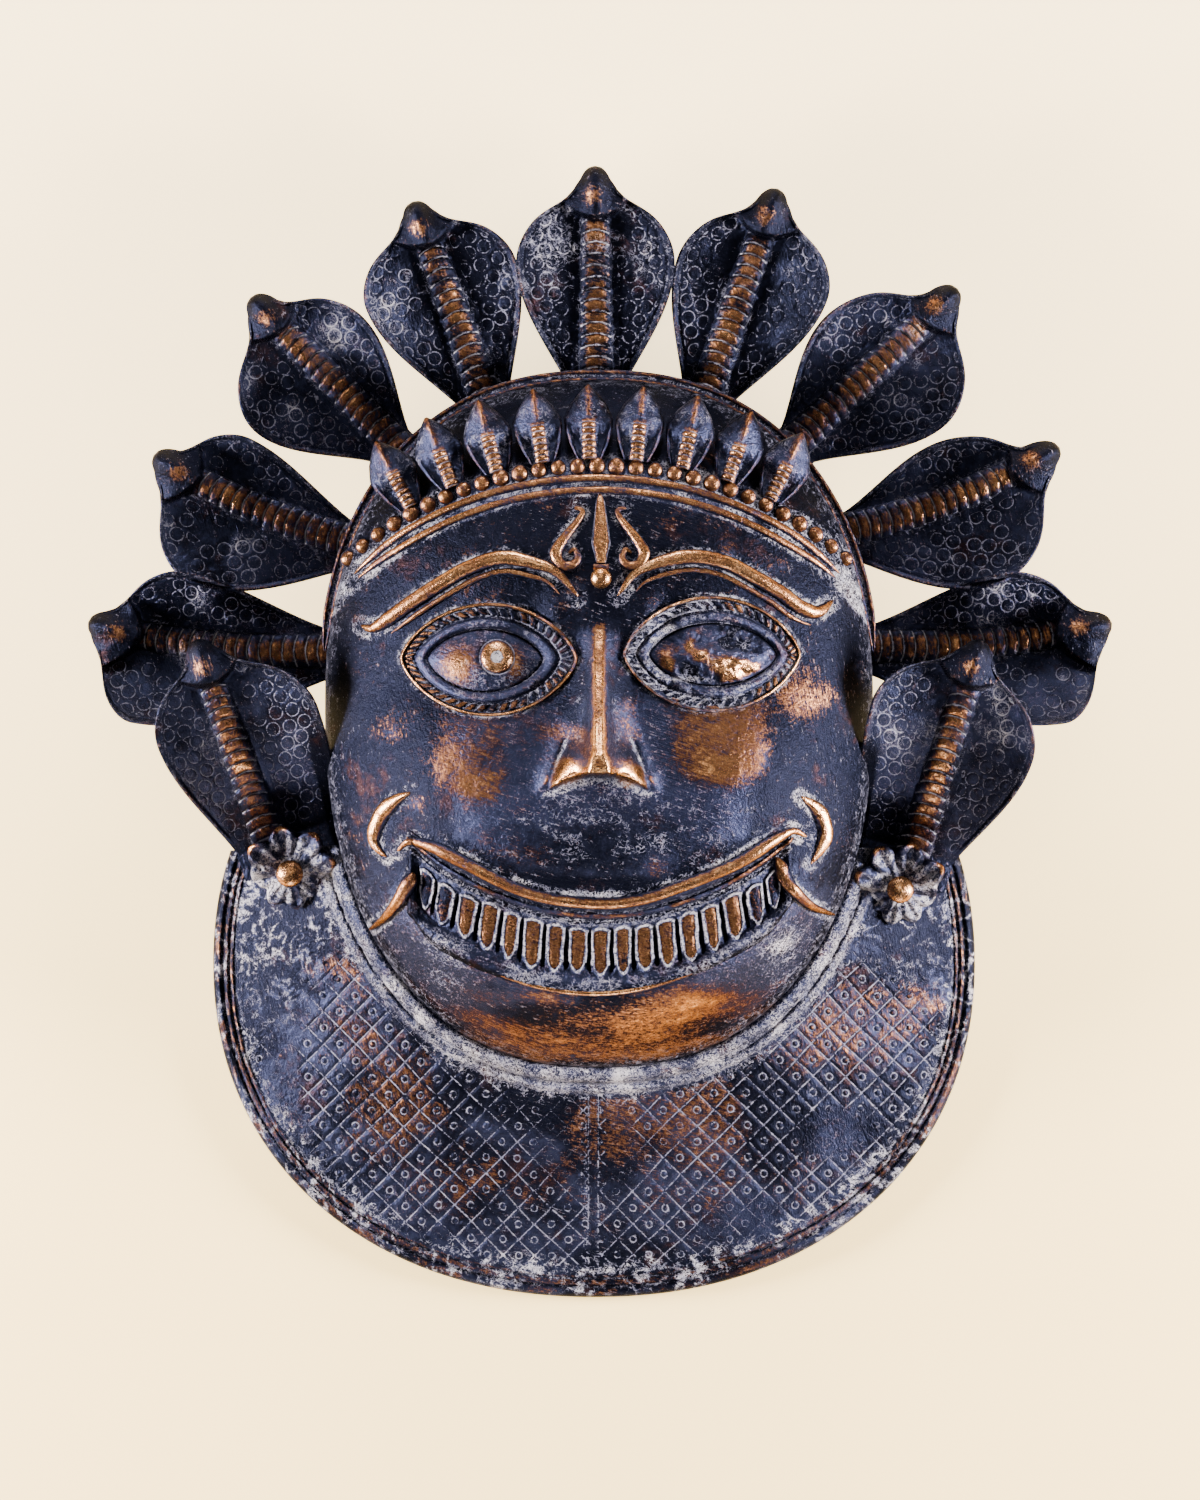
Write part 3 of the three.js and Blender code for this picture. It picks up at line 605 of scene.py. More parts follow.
# Lines of the features, as a few points each
lines = {
    "leftBrow": [(-11, 68), (-21, 79.5), (-31.5, 84), (-48, 87), (-64, 82.5), (-79.5, 74), (-93.5, 65),
                 (-105.5, 56.5), (-113, 52.5), (-119, 54)],
    "rightBrow": [(9, 68.5), (17.5, 79.5), (32, 85.5), (47, 87.5), (62.5, 84.5), (75.5, 78), (88.5, 70.5),
                  (99, 63), (108, 60.5), (116, 66.5)],
    "leftCrescent": [(-94, -29), (-101, -33), (-108, -40), (-112, -51), (-110, -57), (-106, -61)],
    "leftFang": [(-92.5, -68.5), (-95.5, -75), (-100, -83), (-107, -91.5), (-115.5, -98)],
    "rightFang": [(87, -61), (90.5, -69), (96, -77.5), (105, -85.5), (117.5, -90.5)],
    "rightProng": [(12.5, 112), (8.5, 110), (12, 104), (17.5, 97), (21.8, 89.5), (19.5, 84), (14.5, 83),
                   (11, 86.5), (12.5, 91), (15.5, 89.5)],
    "upperLip": [(-100.5, -58), (-93.5, -53), (-82, -56), (-63, -65.5), (-44, -75), (-25, -81), (-1, -83.5),
                 (18, -82), (37.5, -76), (66, -64.5), (85, -53), (95, -48), (102.5, -51)],
    "rightCrescent": [(99.5, -31), (106, -36), (110, -42), (111.5, -50), (109, -57), (104.5, -64.5)],
}
lines["leftProng"] = [(-x, y) for x, y in lines["rightProng"]]


def bandDistance(x, y, radius):
    # distance outside a circle round the middle of the brow band
    return np.hypot(x - crown["x"], y - crown["y"]) - radius


crown = {
    "x": -1.5, "y": -59.5, "ridges": ((186.2, 2.1, 2.2), (180.2, 2, 2)), "halfAngle": 41,
    "beadRing": 192.5, "beads": 29, "beadPitch": 2.87, "beadRadius": 4.2,
    "hoodRing": 196, "hoods": 9, "hoodPitch": 6.79, "hoodTurn": 1.1, "hoodLength": 37, "hoodHalf": 12.2,
    "hoodBulge": 5.5, "hoodRim": 1.6, "ridgeHalf": 3.9, "ridgeHeight": 3.6, "ribPitch": 3,
    "rimFrom": 11, "rimZ": 47,
}

# place, reach and strength: rubbed patches, and the spots that are dark, dusty, painted shade or painted
# highlights
faceRubs = [(-66, -10, 27, 25, 0.55), (-58, -24, 18, 17, 0.62), (58, 0, 26, 22, 0.55),
            (60, -17, 20, 14, 0.68),
            (104, 18, 24, 13, 0.45), (-96, 4, 22, 12, 0.25), (66, 106, 24, 8, 0.15), (-40, -60, 26, 9, 0.2)]
faceSpots = {
    "muzzle": (0, -58, 60, 16, 0.5), "muzzleFlecks": (0, -50, 80, 18, 0.36),
    "underNose": (0, -36, 30, 8, 0.5),
    # painted shade beside the nose and under the brows
    "leftOfNoseShade": (-14, 22, 9, 26, 0.8), "rightOfNoseShade": (14, 22, 9, 26, 0.8),
    "leftUnderBrowShade": (-70, 62, 44, 10, 0.6), "rightUnderBrowShade": (70, 62, 44, 10, 0.6),
    # the chin's rubbed patch, and a painted highlight on its right side
    "chin": (12, -146, 88, 24, 1), "chinPaintedHighlight": (58, -134, 26, 8, 1),
    # painted highlights on both sides of the chin
    "leftPaintedSheen": (-76, -106, 13, 24, 1), "rightPaintedSheen": (90, -104, 13, 22, 1),
}
# half width of each line that dust gathers beside
haloLines = {"leftBrow": 4.2, "rightBrow": 4.2, "leftCrescent": 3.2, "rightCrescent": 3.2, "leftFang": 3.1,
             "rightFang": 3.1, "leftProng": 2.8, "rightProng": 2.8, "upperLip": 4}


def spotted(x, y, spots):
    # a bell for each named spot, times its strength
    return {name: strength * bump(x, y, *place) for name, (*place, strength) in spots.items()}


def faceMasks(x, y, top):
    # where the face is rubbed, dusty or dark, and where shade and highlights are painted, by place and by how
    # far it stands out
    spot = spotted(x, y, faceSpots)
    out, far = standing(top, 3), standing(top, 9)
    cloud, patchy = noise(x, y, 34, 5), noise(x, y, 13, 6)
    ratio, ring, overLip, aside = faceRatio(x, y), bandDistance(x, y, 0), y - lipLine(x), np.abs(x)
    # dark: painted shade above the lip ridge, along the face's edge, on the sides, under the crown's hoods,
    # beside the nose and under the brows; the forehead and the muzzle are darker too
    dark = most(
        smooth(40, 70, y) * smooth(178, 176, ring) * (1 - 0.25 * smooth(-20, 90, x)),      # forehead
        0.9 * smooth(20, 4, overLip) * smooth(-4, 2, overLip) * smooth(98, 84, aside),     # above the lip
        0.8 * smooth(0.95, 0.99, ratio),                                                   # edge
        smooth(62, 90, aside) * smooth(-95, -50, y),                                       # sides
        0.7 * smooth(189, 200, ring),                                                      # under the crown
        *(spot[name] for name in ("muzzle", "leftOfNoseShade", "rightOfNoseShade", "leftUnderBrowShade", "rightUnderBrowShade")))
    polish = (smooth(0.3, 1.1, out) * 0.7 + smooth(1.2, 2.6, far) * 0.3) * smooth(0.99, 0.95, ratio)
    for *place, strength in faceRubs:
        patch = strength * smooth(0.0, 1.2, bump(x, y, *place) + 0.3 * cloud + 0.3 * patchy)
        polish = np.maximum(polish, patch)
        dark = np.maximum(dark * (1 - 0.6 * patch), 0.35 * patch)
    streaks = noise(x, (y - 0.0025 * x * x) * 5, 30, 9)
    chin = spot["chin"] + 0.3 * streaks + 0.12 * cloud
    # the chin's streaked middle is darker, but not at its painted highlight
    dark = np.maximum(dark, 0.7 * smooth(0.2, 1.1, chin - 0.5 * streaks) * (1 - spot["chinPaintedHighlight"]))
    # painted highlights on both sides of the chin: paler dust there and less dark
    paintedSheen = spot["leftPaintedSheen"] + spot["rightPaintedSheen"]
    across = np.abs(x - face["x"])
    bridge = smooth(5, 1.8, across) * smooth(-24, -14, y) * smooth(58, 50, y)
    wing = bump(across, y, 15.5, -19, 8.5, 8)
    polish = most(
        polish,
        # the chin's rubbed bronze, brighter at its painted highlight
        0.6 * smooth(0.05, 1.1, chin) + 0.3 * spot["chinPaintedHighlight"],
        bridge * (0.68 + 0.25 * noise(x * 3, y, 18, 8)),
        0.8 * smooth(0.25, 0.75, wing + 0.2 * patchy))
    # dust beside every raised line, round the eyes and in the hollows, and painted highlights in dust colour
    # on both sides of the chin
    halo = [nearCurve(x, y, lines[name])[0] - width for name, width in haloLines.items()]
    halo += [np.abs(ring - radius) - half for radius, half, _ in crown["ridges"]]
    halo += [np.abs(outerLevel(x, y, eye) - 1.08) * 18 for eye in eyes.values()]
    crust = smooth(-0.7, 0.7, noise(x, y, 8, 11))
    chalk = most(
        smooth(0.15, 0.6, -out) * 0.5 + smooth(0.6, 1.8, -far) * 0.2,
        spot["muzzleFlecks"] * smooth(-0.6, 0.5, noise(x, y * 3, 14, 19)),
        (0.46 + 0.3 * patchy) * smooth(8, 4, np.abs(ring - crown["beadRing"])),
        # painted highlights on both sides of the chin
        0.6 * paintedSheen * (0.8 + 0.4 * streaks),
        (0.25 + 0.45 * crust) * smooth(2.6, 0.3, functools.reduce(np.minimum, halo)),
        0.3 * smooth(0.93, 0.99, ratio),
        spot["underNose"] * crust)
    return np.clip(polish, 0, 1), np.clip(chalk, 0, 1), np.clip(dark - 0.8 * paintedSheen, 0, 1)


def sunk(x, y):
    # how far the face lies below the eyes and the mouth that are laid over it
    down = most(*(smooth(1.02, 0.88, outerLevel(x, y, eye, 2)) for eye in eyes.values()))
    inside = smooth(lipLine(x) - 1, lipLine(x) - 4, y) * smooth(chinLine(x), chinLine(x) + 3, y)
    inside = inside * smooth(mouth["halfWidth"] - 3, mouth["halfWidth"] - 7, np.abs(x))
    return np.maximum(down, inside) * face["sink"]


def makeFace(material):
    # a square grid wrapped on the dome: its larger coordinate is the ratio, and its direction the angle
    n, share = face["steps"] + 1, face["wallShare"]
    v, u = np.meshgrid(np.linspace(-1, 1, n), np.linspace(-1, 1, n), indexing="ij")
    angle, square = np.arctan2(v, u), np.maximum(np.abs(u), np.abs(v))
    dived = np.clip((square - 1 + share) / share, 0, 1)      # down the side wall, from 0 to 1
    wallZ = face["wallTop"] * (1 - dived)
    ratio = 1 - (1 - np.clip(square / (1 - share), 0, 1)) ** face["crowding"]
    x, y = facePoint(angle, ratio)
    smoothZ = faceForm(x, y)
    lumps = 0.35 * noise(x, y, 22, 2) + 0.1 * noise(x, y, 4, 7)
    z = np.where(dived > 0, wallZ, smoothZ + lumps * smooth(1, 0.97, ratio))
    polish, chalk, dark = faceMasks(x, y, np.stack([x, y, z], -1))
    # painted shade on the side wall under the dome's edge
    dark = np.where(dived > 0, 0.7, dark)
    top = np.stack([x, y, z - sunk(x, y) * (dived == 0)], -1)

    # the inner side, drawn in by the wall towards the edge
    step = face["coarse"]
    pick = picked(x.shape, step)
    low = ratio[pick]
    inner = blur(smoothZ[..., None], 4)[..., 0][pick] - face["innerDrop"]
    inner = np.minimum(inner, dome(low) - face["drop"])
    cx, cy = facePoint(angle[pick], low)
    pull = face["wall"] * low ** 4
    length = np.hypot(cx - face["x"], cy - face["y"]) + 1e-9
    ux, uy = cx - (cx - face["x"]) / length * pull, cy - (cy - face["y"]) / length * pull
    under = np.stack([ux, uy, np.where(dived[pick] > 0, wallZ[pick], inner)], -1)
    for name, a, b in zip(("mouthAndChin", "eyesAndNose", "forehead"), face["tiles"][:-1], face["tiles"][1:]):
        rows = slice(a, b + 1)
        shape = slab(top[rows], under[a // step:b // step + 1], step,
                     polish=polish[rows], chalk=chalk[rows], dark=dark[rows])
        makePiece(name, shape, material)


# Eyes: a thin rim, a rope of slanted cells, a smooth lid and the eyeball
eyeBand = {
    "round": 324, "across": 56, "under": 9, "bandShare": 0.6, "coarse": 6, "overlap": 1.5, "thickness": 3.2,
    "cells": 46, "cellLength": 4.1, "slant": 0.9, "ropeFrom": 0.46, "ropeTo": 0.86, "ropeHeight": 1.1,
    "rimAt": 0.93, "rimHalf": 0.075, "rimHeight": 2.2, "lidAt": 0.2, "lidHalf": 0.21, "lidHeight": 2,
    "irisRadius": 8, "irisHeight": 2.2, "pupilRadius": 3,
}
wornSpots = {"boss": (47, 39, 7, 6, 3), "rubbed": (47, 39, 10, 8, 1.2), "alsoRubbed": (62, 33, 9, 7, 0.9),
             "pit": (56, 35, 5, 4, 0.5), "corner": (41, 27, 16, 3, 0.7)}


def almondPoint(angle, cx, cy, half, up, down):
    # the place at an angle on an almond's outline, its sine drawn in towards two points
    rise = np.sin(angle)
    tall = np.where(rise > 0, up, down)
    return cx + half * np.cos(angle), cy + tall * np.sign(rise) * np.abs(rise) ** 1.35


def makeEye(name, eye, material):
    # rows go round; columns run from the middle of the eyeball to the inner almond and on to the outer one
    e, worn = eyeBand, eye["worn"]
    rows, cols = e["round"], e["across"]
    angle = (np.arange(rows) / rows * 2 * np.pi)[:, None]
    k = np.linspace(0, 1, cols + 1)[None, :]
    split = 1 - e["bandShare"]
    inBall = (k < split) & (angle > -1)
    onBand = ~inBall
    within = np.clip(k / split, 0, 1)
    band = np.clip((k - split) / (1 - split), 0, 1) + 0 * angle
    midX, midY = eye["inX"], eye["inY"]
    innerX, innerY = almondPoint(angle, midX, midY, eye["inHalf"], eye["inUp"], eye["inDown"])
    half, up, down = (eye[k] + e["overlap"] for k in ("half", "up", "down"))
    outerX, outerY = almondPoint(angle, eye["x"], eye["y"], half, up, down)
    x = np.where(inBall, midX + (innerX - midX) * within, innerX + (outerX - innerX) * band)
    y = np.where(inBall, midY + (innerY - midY) * within, innerY + (outerY - innerY) * band)
    level = innerLevel(x, y, eye)
    side = worn * (0.5 - 1.1 * np.cos(angle)) - (1 - worn) * (0.55 - 0.9 * np.cos(angle))
    wear = smooth(-0.1, 0.9, noise(x, y, 16, 20) + side)

    outerRim = roundRidge(band - e["rimAt"], e["rimHalf"]) * onBand
    lid = roundRidge(band - e["lidAt"], e["lidHalf"]) * onBand
    slant = np.where(np.sin(angle) >= 0, -1, 1) * band * e["slant"] / (e["ropeTo"] - e["ropeFrom"])
    fromCell = toWhole(angle * e["cells"] / (2 * np.pi) + slant) * e["cellLength"]
    fromSide = np.minimum(band - e["ropeFrom"], e["ropeTo"] - band) * 13
    cell = np.where(inBall, -4.0, np.minimum(fromCell, fromSide))
    rope = smooth(0.2, 1.0, cell) * (1 - 0.7 * wear)
    z = faceForm(x, y) + e["rimHeight"] * outerRim + e["lidHeight"] * lid + e["ropeHeight"] * rope
    z = z - 0.8 * smooth(0.98, 1.0, band) + 0.9 * wear * noise(x, y, 5, 21) * onBand
    crease = bell(level - 0.98, 0.025) * inBall
    z = z - 0.8 * crease
    fromIris = np.hypot(x - eye["irisX"], y - eye["irisY"])
    iris, pupil, spot = e["irisRadius"], e["pupilRadius"], spotted(x, y, wornSpots)
    if worn:
        lumps = 1.6 * noise(x, y, 9, 33) + 0.6 * noise(x, y, 3, 35) + spot["boss"]
        z = z + inBall * smooth(1, 0.7, level) * lumps
    else:
        raised = e["irisHeight"] * roundRidge(fromIris, iris)
        z = z + inBall * (raised - 0.8 * bell(fromIris - iris - 0.6, 0.8))
        z = z - inBall * 0.9 * smooth(pupil + 0.1, pupil - 0.5, fromIris)
    top = np.stack([x, y, z], -1)

    out = standing(top, 3)
    warm = smooth(-0.6, 0.5, noise(x, y, 12, 23) + 0.5 * np.cos(angle) * np.sign(eye["x"]))
    polish = 0.85 * smooth(0.4, 0.9, outerRim) * (0.5 + 0.5 * warm)
    polish = polish + 0.5 * rope * warm * smooth(0.4, 1.0, cell) + 0.15 * smooth(0.8, 1, lid) * warm
    inRope = smooth(-0.8, 0.2, fromSide) * onBand
    chalk = 0.35 * smooth(0.5, 0.9, lid) * smooth(-0.3, 0.6, noise(x, y, 7, 25))
    chalk = chalk + 0.45 * smooth(0.15, 0.5, -out) * onBand * (1 - 0.6 * inRope) + 0.3 * wear * onBand
    # painted shade in the crease round the eyeball; the rope band is darker too
    dark = 0.9 * crease + 0.6 * inRope
    mark = np.where(inBall, 9, np.clip(cell - 0.45, -4, 4))
    if worn:
        patch = noise(x, y, 11, 51) + spot["rubbed"] + spot["alsoRubbed"]
        polish = np.where(inBall, 0.85 * smooth(0.2, 1.2, patch) * smooth(0.95, 0.7, level), polish)
        chalk = np.where(inBall, 0.35 * smooth(0.2, 0.8, -patch) + spot["pit"], chalk)
        dark = np.where(inBall, np.maximum(dark, 0.8 * smooth(0, 0.7, -patch)), dark)
        chalk = np.maximum(chalk, spot["corner"])
    else:
        patch = 0.75 * np.maximum(bump(x, y, -70, 34, 9, 10), 0.9 * bump(x, y, -42, 34, 5, 8))
        polish = np.where(inBall, np.maximum(0.85 * smooth(iris + 0.4, iris - 1, fromIris), patch), polish)
        polish = polish * smooth(pupil - 0.6, pupil + 0.4, fromIris)
        # the lower half of the eyeball is paler: painted light there, on a little dust
        dustAndLowerSheen = 0.1 + 0.35 * smooth(0.3, -0.6, np.sin(angle)) * smooth(-0.5, 0.6, noise(x, y, 6, 27))
        chalk = np.where(inBall, np.where(fromIris < pupil, 0.95, dustAndLowerSheen), chalk)
        mark = np.where(inBall & (fromIris < 1.5 * iris), np.clip((fromIris - iris - 0.7), -4, 4), mark)
    pick = np.ix_(range(0, rows, e["coarse"]), np.linspace(0, cols, e["under"]).astype(int))
    lowX, lowY = x[pick], y[pick]
    under = np.stack([lowX, lowY, faceForm(lowX, lowY) - e["thickness"]], -1)
    shape = ringSlab(top, under, e["coarse"], polish=polish, chalk=chalk, dark=dark, mark=mark)
    makePiece(name, shape, material)


# Mouth: a thin line under the lip, the teeth and the gum band
mouthGrid = {"long": 336, "deep": 88, "coarse": 8, "thickness": 3.4}


def makeMouth(material):
    # rows go down from the upper lip to the lower one, columns along the mouth, leaning outwards with depth
    m, g = mouth, mouthGrid
    v, u = np.meshgrid(np.linspace(0, 1, g["deep"] + 1), np.linspace(-1, 1, g["long"] + 1), indexing="ij")
    start = u * (m["halfWidth"] - 1)
    aside = np.abs(start)
    total = lipLine(start) - chinLine(start)
    depth = v * (total + 1)
    x = start + 2 * m["lipCurve"] * start * m["lean"] * smooth(m["halfWidth"], 70, aside) * depth
    y = lipLine(start) - depth
    number = start / m["pitch"] + 0.06 * noise(start, 0 * start, 30, 55, 1)
    middle = np.round(number)
    own = middle.astype(np.int64)
    uneven = [cornerValue(own, own * 0 + k, 4) for k in (3, 8, 5)]      # each tooth's own top, end and width
    isTooth = np.abs(middle) <= (m["teeth"] - 1) / 2
    short = smooth(45, 88, aside)
    top = m["toothTop"] + 2 * short + 0.8 * uneven[0]
    end = m["toothEnd"] - 3.5 * short + 0.9 * uneven[1]
    half = m["toothWidth"] / 2 * (1 - 0.2 * smooth(18, 34, depth)) + 0.3 * uneven[2]
    beside = np.abs((number - middle) * m["pitch"] + 0.3 * noise(x, y, 6, 57, 2))
    # distance outside a bar whose two ends are rounded
    curl = 3.2 * np.clip(beside / half, 0, 1.3) ** 2
    outside = most(beside - half, top - depth + 0.3 * curl, depth - end + curl)
    facing = smooth(0.3, -0.7, outside) * isTooth
    border = smooth(2.3, 1.2, outside) * smooth(-0.4, 0.3, outside) * isTooth
    gap = smooth(m["pitch"] / 2 - 1.2, m["pitch"] / 2 - 0.3, beside)
    gap = gap * smooth(top - 1, top + 3, depth) * smooth(end + 0.5, end - 2, depth)
    gap = gap * (np.abs(number) <= m["teeth"] / 2)
    thinLine = roundRidge(depth - 6.8, 1.2)
    groove = roundRidge(depth - 9.4, 1.3) + 0.7 * roundRidge(depth - 5, 0.9)
    gum = roundRidge(depth - total + 5, 6) * smooth(end, end + 4, depth)
    z = faceForm(x, y) + 1.4 + 0.9 * thinLine - 0.9 * groove
    z = z + facing * (1.2 - 0.5 * (beside / half) ** 2) + border * 1.3 - 3.6 * gap + 1.4 * gum
    z = z + 0.3 * noise(x, y, 3, 61) * (1 - 0.6 * facing)
    edge = np.minimum(np.minimum(v, 1 - v) * total, m["halfWidth"] - 1 - aside)
    points = np.stack([x, y, z - 2.2 * smooth(2.5, 0, edge)], -1)

    warm = noise(x, y, 14, 63)
    polish = facing * (0.6 - 0.4 * smooth(58, 80, aside) + 0.12 * warm)
    polish = polish + 0.5 * thinLine * smooth(-0.6, 0.3, warm)
    chalk = most(
        0.8 * border + 0.55 * gum * smooth(-0.8, 0.4, warm),
        0.5 * smooth(7.5, 9, depth) * smooth(14, 11, depth) * (1 - thinLine),
        0.4 * smooth(3, 5, depth) * smooth(6.5, 5.5, depth)) * (1 - 0.9 * gap)
    # painted shade in the gaps between the teeth, in the grooves and along the bottom of the mouth; the tooth
    # faces are darker too, and the ends of the mouth darker still
    dark = np.clip(gap + 0.8 * groove + 0.5 * smooth(total - 4, total - 1, depth) + 0.5 * facing, 0, 1)
    dark = np.maximum(dark, 0.6 * smooth(70, 95, aside) * (1 - border))
    pick = picked(v.shape, g["coarse"])
    lowX, lowY = x[pick], y[pick]
    under = np.stack([lowX, lowY, faceForm(lowX, lowY) - g["thickness"]], -1)
    shape = slab(points[::-1], under[::-1], g["coarse"],
                 polish=polish[::-1], chalk=chalk[::-1], dark=dark[::-1])
    makePiece("teethAndGums", shape, material)


# Raised lines: half-round rolls laid on the face
def roll(half, height, sink=1.6, count=11):
    # a half-round section: across is a cosine and up a sine, on a flat foot that sinks in
    a = np.linspace(0, np.pi, count)
    arch = np.stack([half * np.cos(a), height * np.sin(a) ** 0.8], 1)
    return np.concatenate([arch, [[-half, -sink], [half, -sink]]])


def laid(line, count, lift=0):
    # a path through the points, lying on the face
    path = curveThrough(line, count)
    x, y = path[:, 0], path[:, 1]
    return np.stack([x, y, faceForm(x, y) + lift], -1)


def taperAt(count, start, end, power=0.6):
    # thin at the ends: rises over the first share and falls over the last
    s = np.linspace(0, 1, count)
    return np.clip(np.minimum(s / max(start, 1e-6), (1 - s) / max(end, 1e-6)), 0, 1) ** power * 0.93 + 0.07


def rolled(line, count, half, height, scale, lift=0, polish=0.9):
    # a half-round roll along a line of the face: bronze on top, dusty and with painted shade at its foot
    path = laid(line, count, lift)
    section = roll(half, height)
    high = np.clip(section[:, 1] / height, 0, 1)[None, :]
    wear = noise(path[:, 0], path[:, 1], 11, 13)[:, None] * 0.18
    masks = {"polish": (polish - 0.08 + wear) * smooth(0.28, 0.88, high),
             "chalk": 0.55 * smooth(0.35, 0.05, high) * smooth(-0.2, 0.1, wear),
             # painted shade at the foot of the roll
             "dark": 0.2 * smooth(0.3, 0, high) + 0 * wear}
    return tube(path, faceNormals(path[:, 0], path[:, 1]), section, scale, **masks)


# steps along, half width and height of each roll
rolls = {
    "brow": (110, 3.8, 4.4), "underBrow": (90, 1.4, 1.8), "crescent": (50, 4.4, 4), "fang": (60, 3.8, 4.6),
    "upperLip": (240, 3.7, 4.2), "lowerLip": (200, 1.6, 2), "prong": (90, 3, 3.2),
}
underBrowGap, fangLift = 6.4, 1.4


def offsetLine(line, away, count=40):
    # the same curve moved sideways, to the left of its direction
    path = curveThrough(line, count)
    ahead = np.gradient(path, axis=0)
    ahead /= np.linalg.norm(ahead, axis=1, keepdims=True)
    return path + np.stack([-ahead[:, 1], ahead[:, 0]], 1) * away


def makeFeatures(material):
    for side, sign in (("left", 1), ("right", -1)):
        brow = lines[side + "Brow"]
        main = rolled(brow, *rolls["brow"], taperAt(110, 0.3, 0.12))
        below = offsetLine(brow, sign * underBrowGap)[2:36]
        thin = rolled(below, *rolls["underBrow"], taperAt(90, 0.2, 0.15), polish=0.7)
        makePiece(side + "Brow", joined([main, thin]), material)
        crescent = rolled(lines[side + "Crescent"], *rolls["crescent"], taperAt(50, 0.3, 0.35, 0.8))
        makePiece(side + "Crescent", crescent, material)
        fang = rolled(lines[side + "Fang"], *rolls["fang"], taperAt(60, 0.12, 0.85), fangLift, 0.8)
        makePiece(side + "Fang", fang, material)
    middle = 0.82 + 0.18 * np.abs(np.linspace(-1, 1, 240)) ** 2      # the upper lip is thinner in the middle
    lip = rolled(lines["upperLip"], *rolls["upperLip"], taperAt(240, 0.12, 0.12) * middle, polish=0.78)
    makePiece("upperLip", lip, material)
    x = np.linspace(-mouth["halfWidth"] + 4, mouth["halfWidth"] - 4, 25)
    low = rolled(np.stack([x, chinLine(x)], 1), *rolls["lowerLip"], taperAt(200, 0.1, 0.1))
    makePiece("lowerLip", low, material)


trident = {
    "prongThickness": ([0, 0.12, 0.3, 0.55, 0.8, 1], [0.35, 0.5, 0.75, 1.05, 0.75, 0.3]),
    "blade": [(0, 119), (0.2, 112), (0.4, 100), (0.5, 93), (0.5, 84.5)], "bladeHalf": 4.8, "bladeHeight": 3,
    "bladeWidth": ([0, 0.12, 0.72, 0.86, 1], [0.15, 0.45, 1, 0.72, 0.5]),
    "block": [(-3.2, 82.5), (0.5, 82.3), (4.2, 82.5)], "ball": (0.5, 77.0), "ballRadii": (5.2, 5.2, 4.6),
}


def makeTrident(material):
    # two hooked prongs, a flat blade with a raised edge, a stepped block and a ball
    t = trident
    thick = np.interp(np.linspace(0, 1, 90), *t["prongThickness"])
    parts = [rolled(lines[side + "Prong"], *rolls["prong"], thick, polish=0.75) for side in ("left", "right")]
    path = laid(t["blade"], 60)
    width = np.interp(np.linspace(0, 1, 60), *t["bladeWidth"])
    a, half = np.linspace(1, -1, 15), t["bladeHalf"]
    edge = 0.72 + 0.28 * roundRidge(np.abs(a) - 0.78, 0.2) - 0.5 * smooth(0.9, 1, np.abs(a))
    section = np.stack([a * half, edge * t["bladeHeight"]], 1)
    section = np.concatenate([section, [[-half, -1.6], [half, -1.6]]])
    flat = smooth(0.95, 0.7, np.abs(section[:, 0]) / half)[None, :] * (section[:, 1] > 0)
    masks = {"polish": 0.72 * flat + 0 * width[:, None], "chalk": 0.5 * (1 - flat) + 0 * width[:, None]}
    parts.append(tube(path, faceNormals(path[:, 0], path[:, 1]), section, width, **masks))
    block = laid(t["block"], 12)
    parts.append(tube(block, faceNormals(block[:, 0], block[:, 1]), roll(1.6, 2.4), polish=0.4, chalk=0.2))
    x, y = t["ball"]
    ballZ = faceHeight(x, y) + 1.5
    parts.append(ball(x, y, ballZ, *t["ballRadii"], 28, 16, polish=0.85, chalk=0.05))
    makePiece("trident", joined(parts), material)


def onBand(radius, degrees):
    # a place on a circle round the middle of the brow band, its angle counted from the top
    a = np.radians(90 - degrees)
    return crown["x"] + radius * np.cos(a), crown["y"] + radius * np.sin(a)


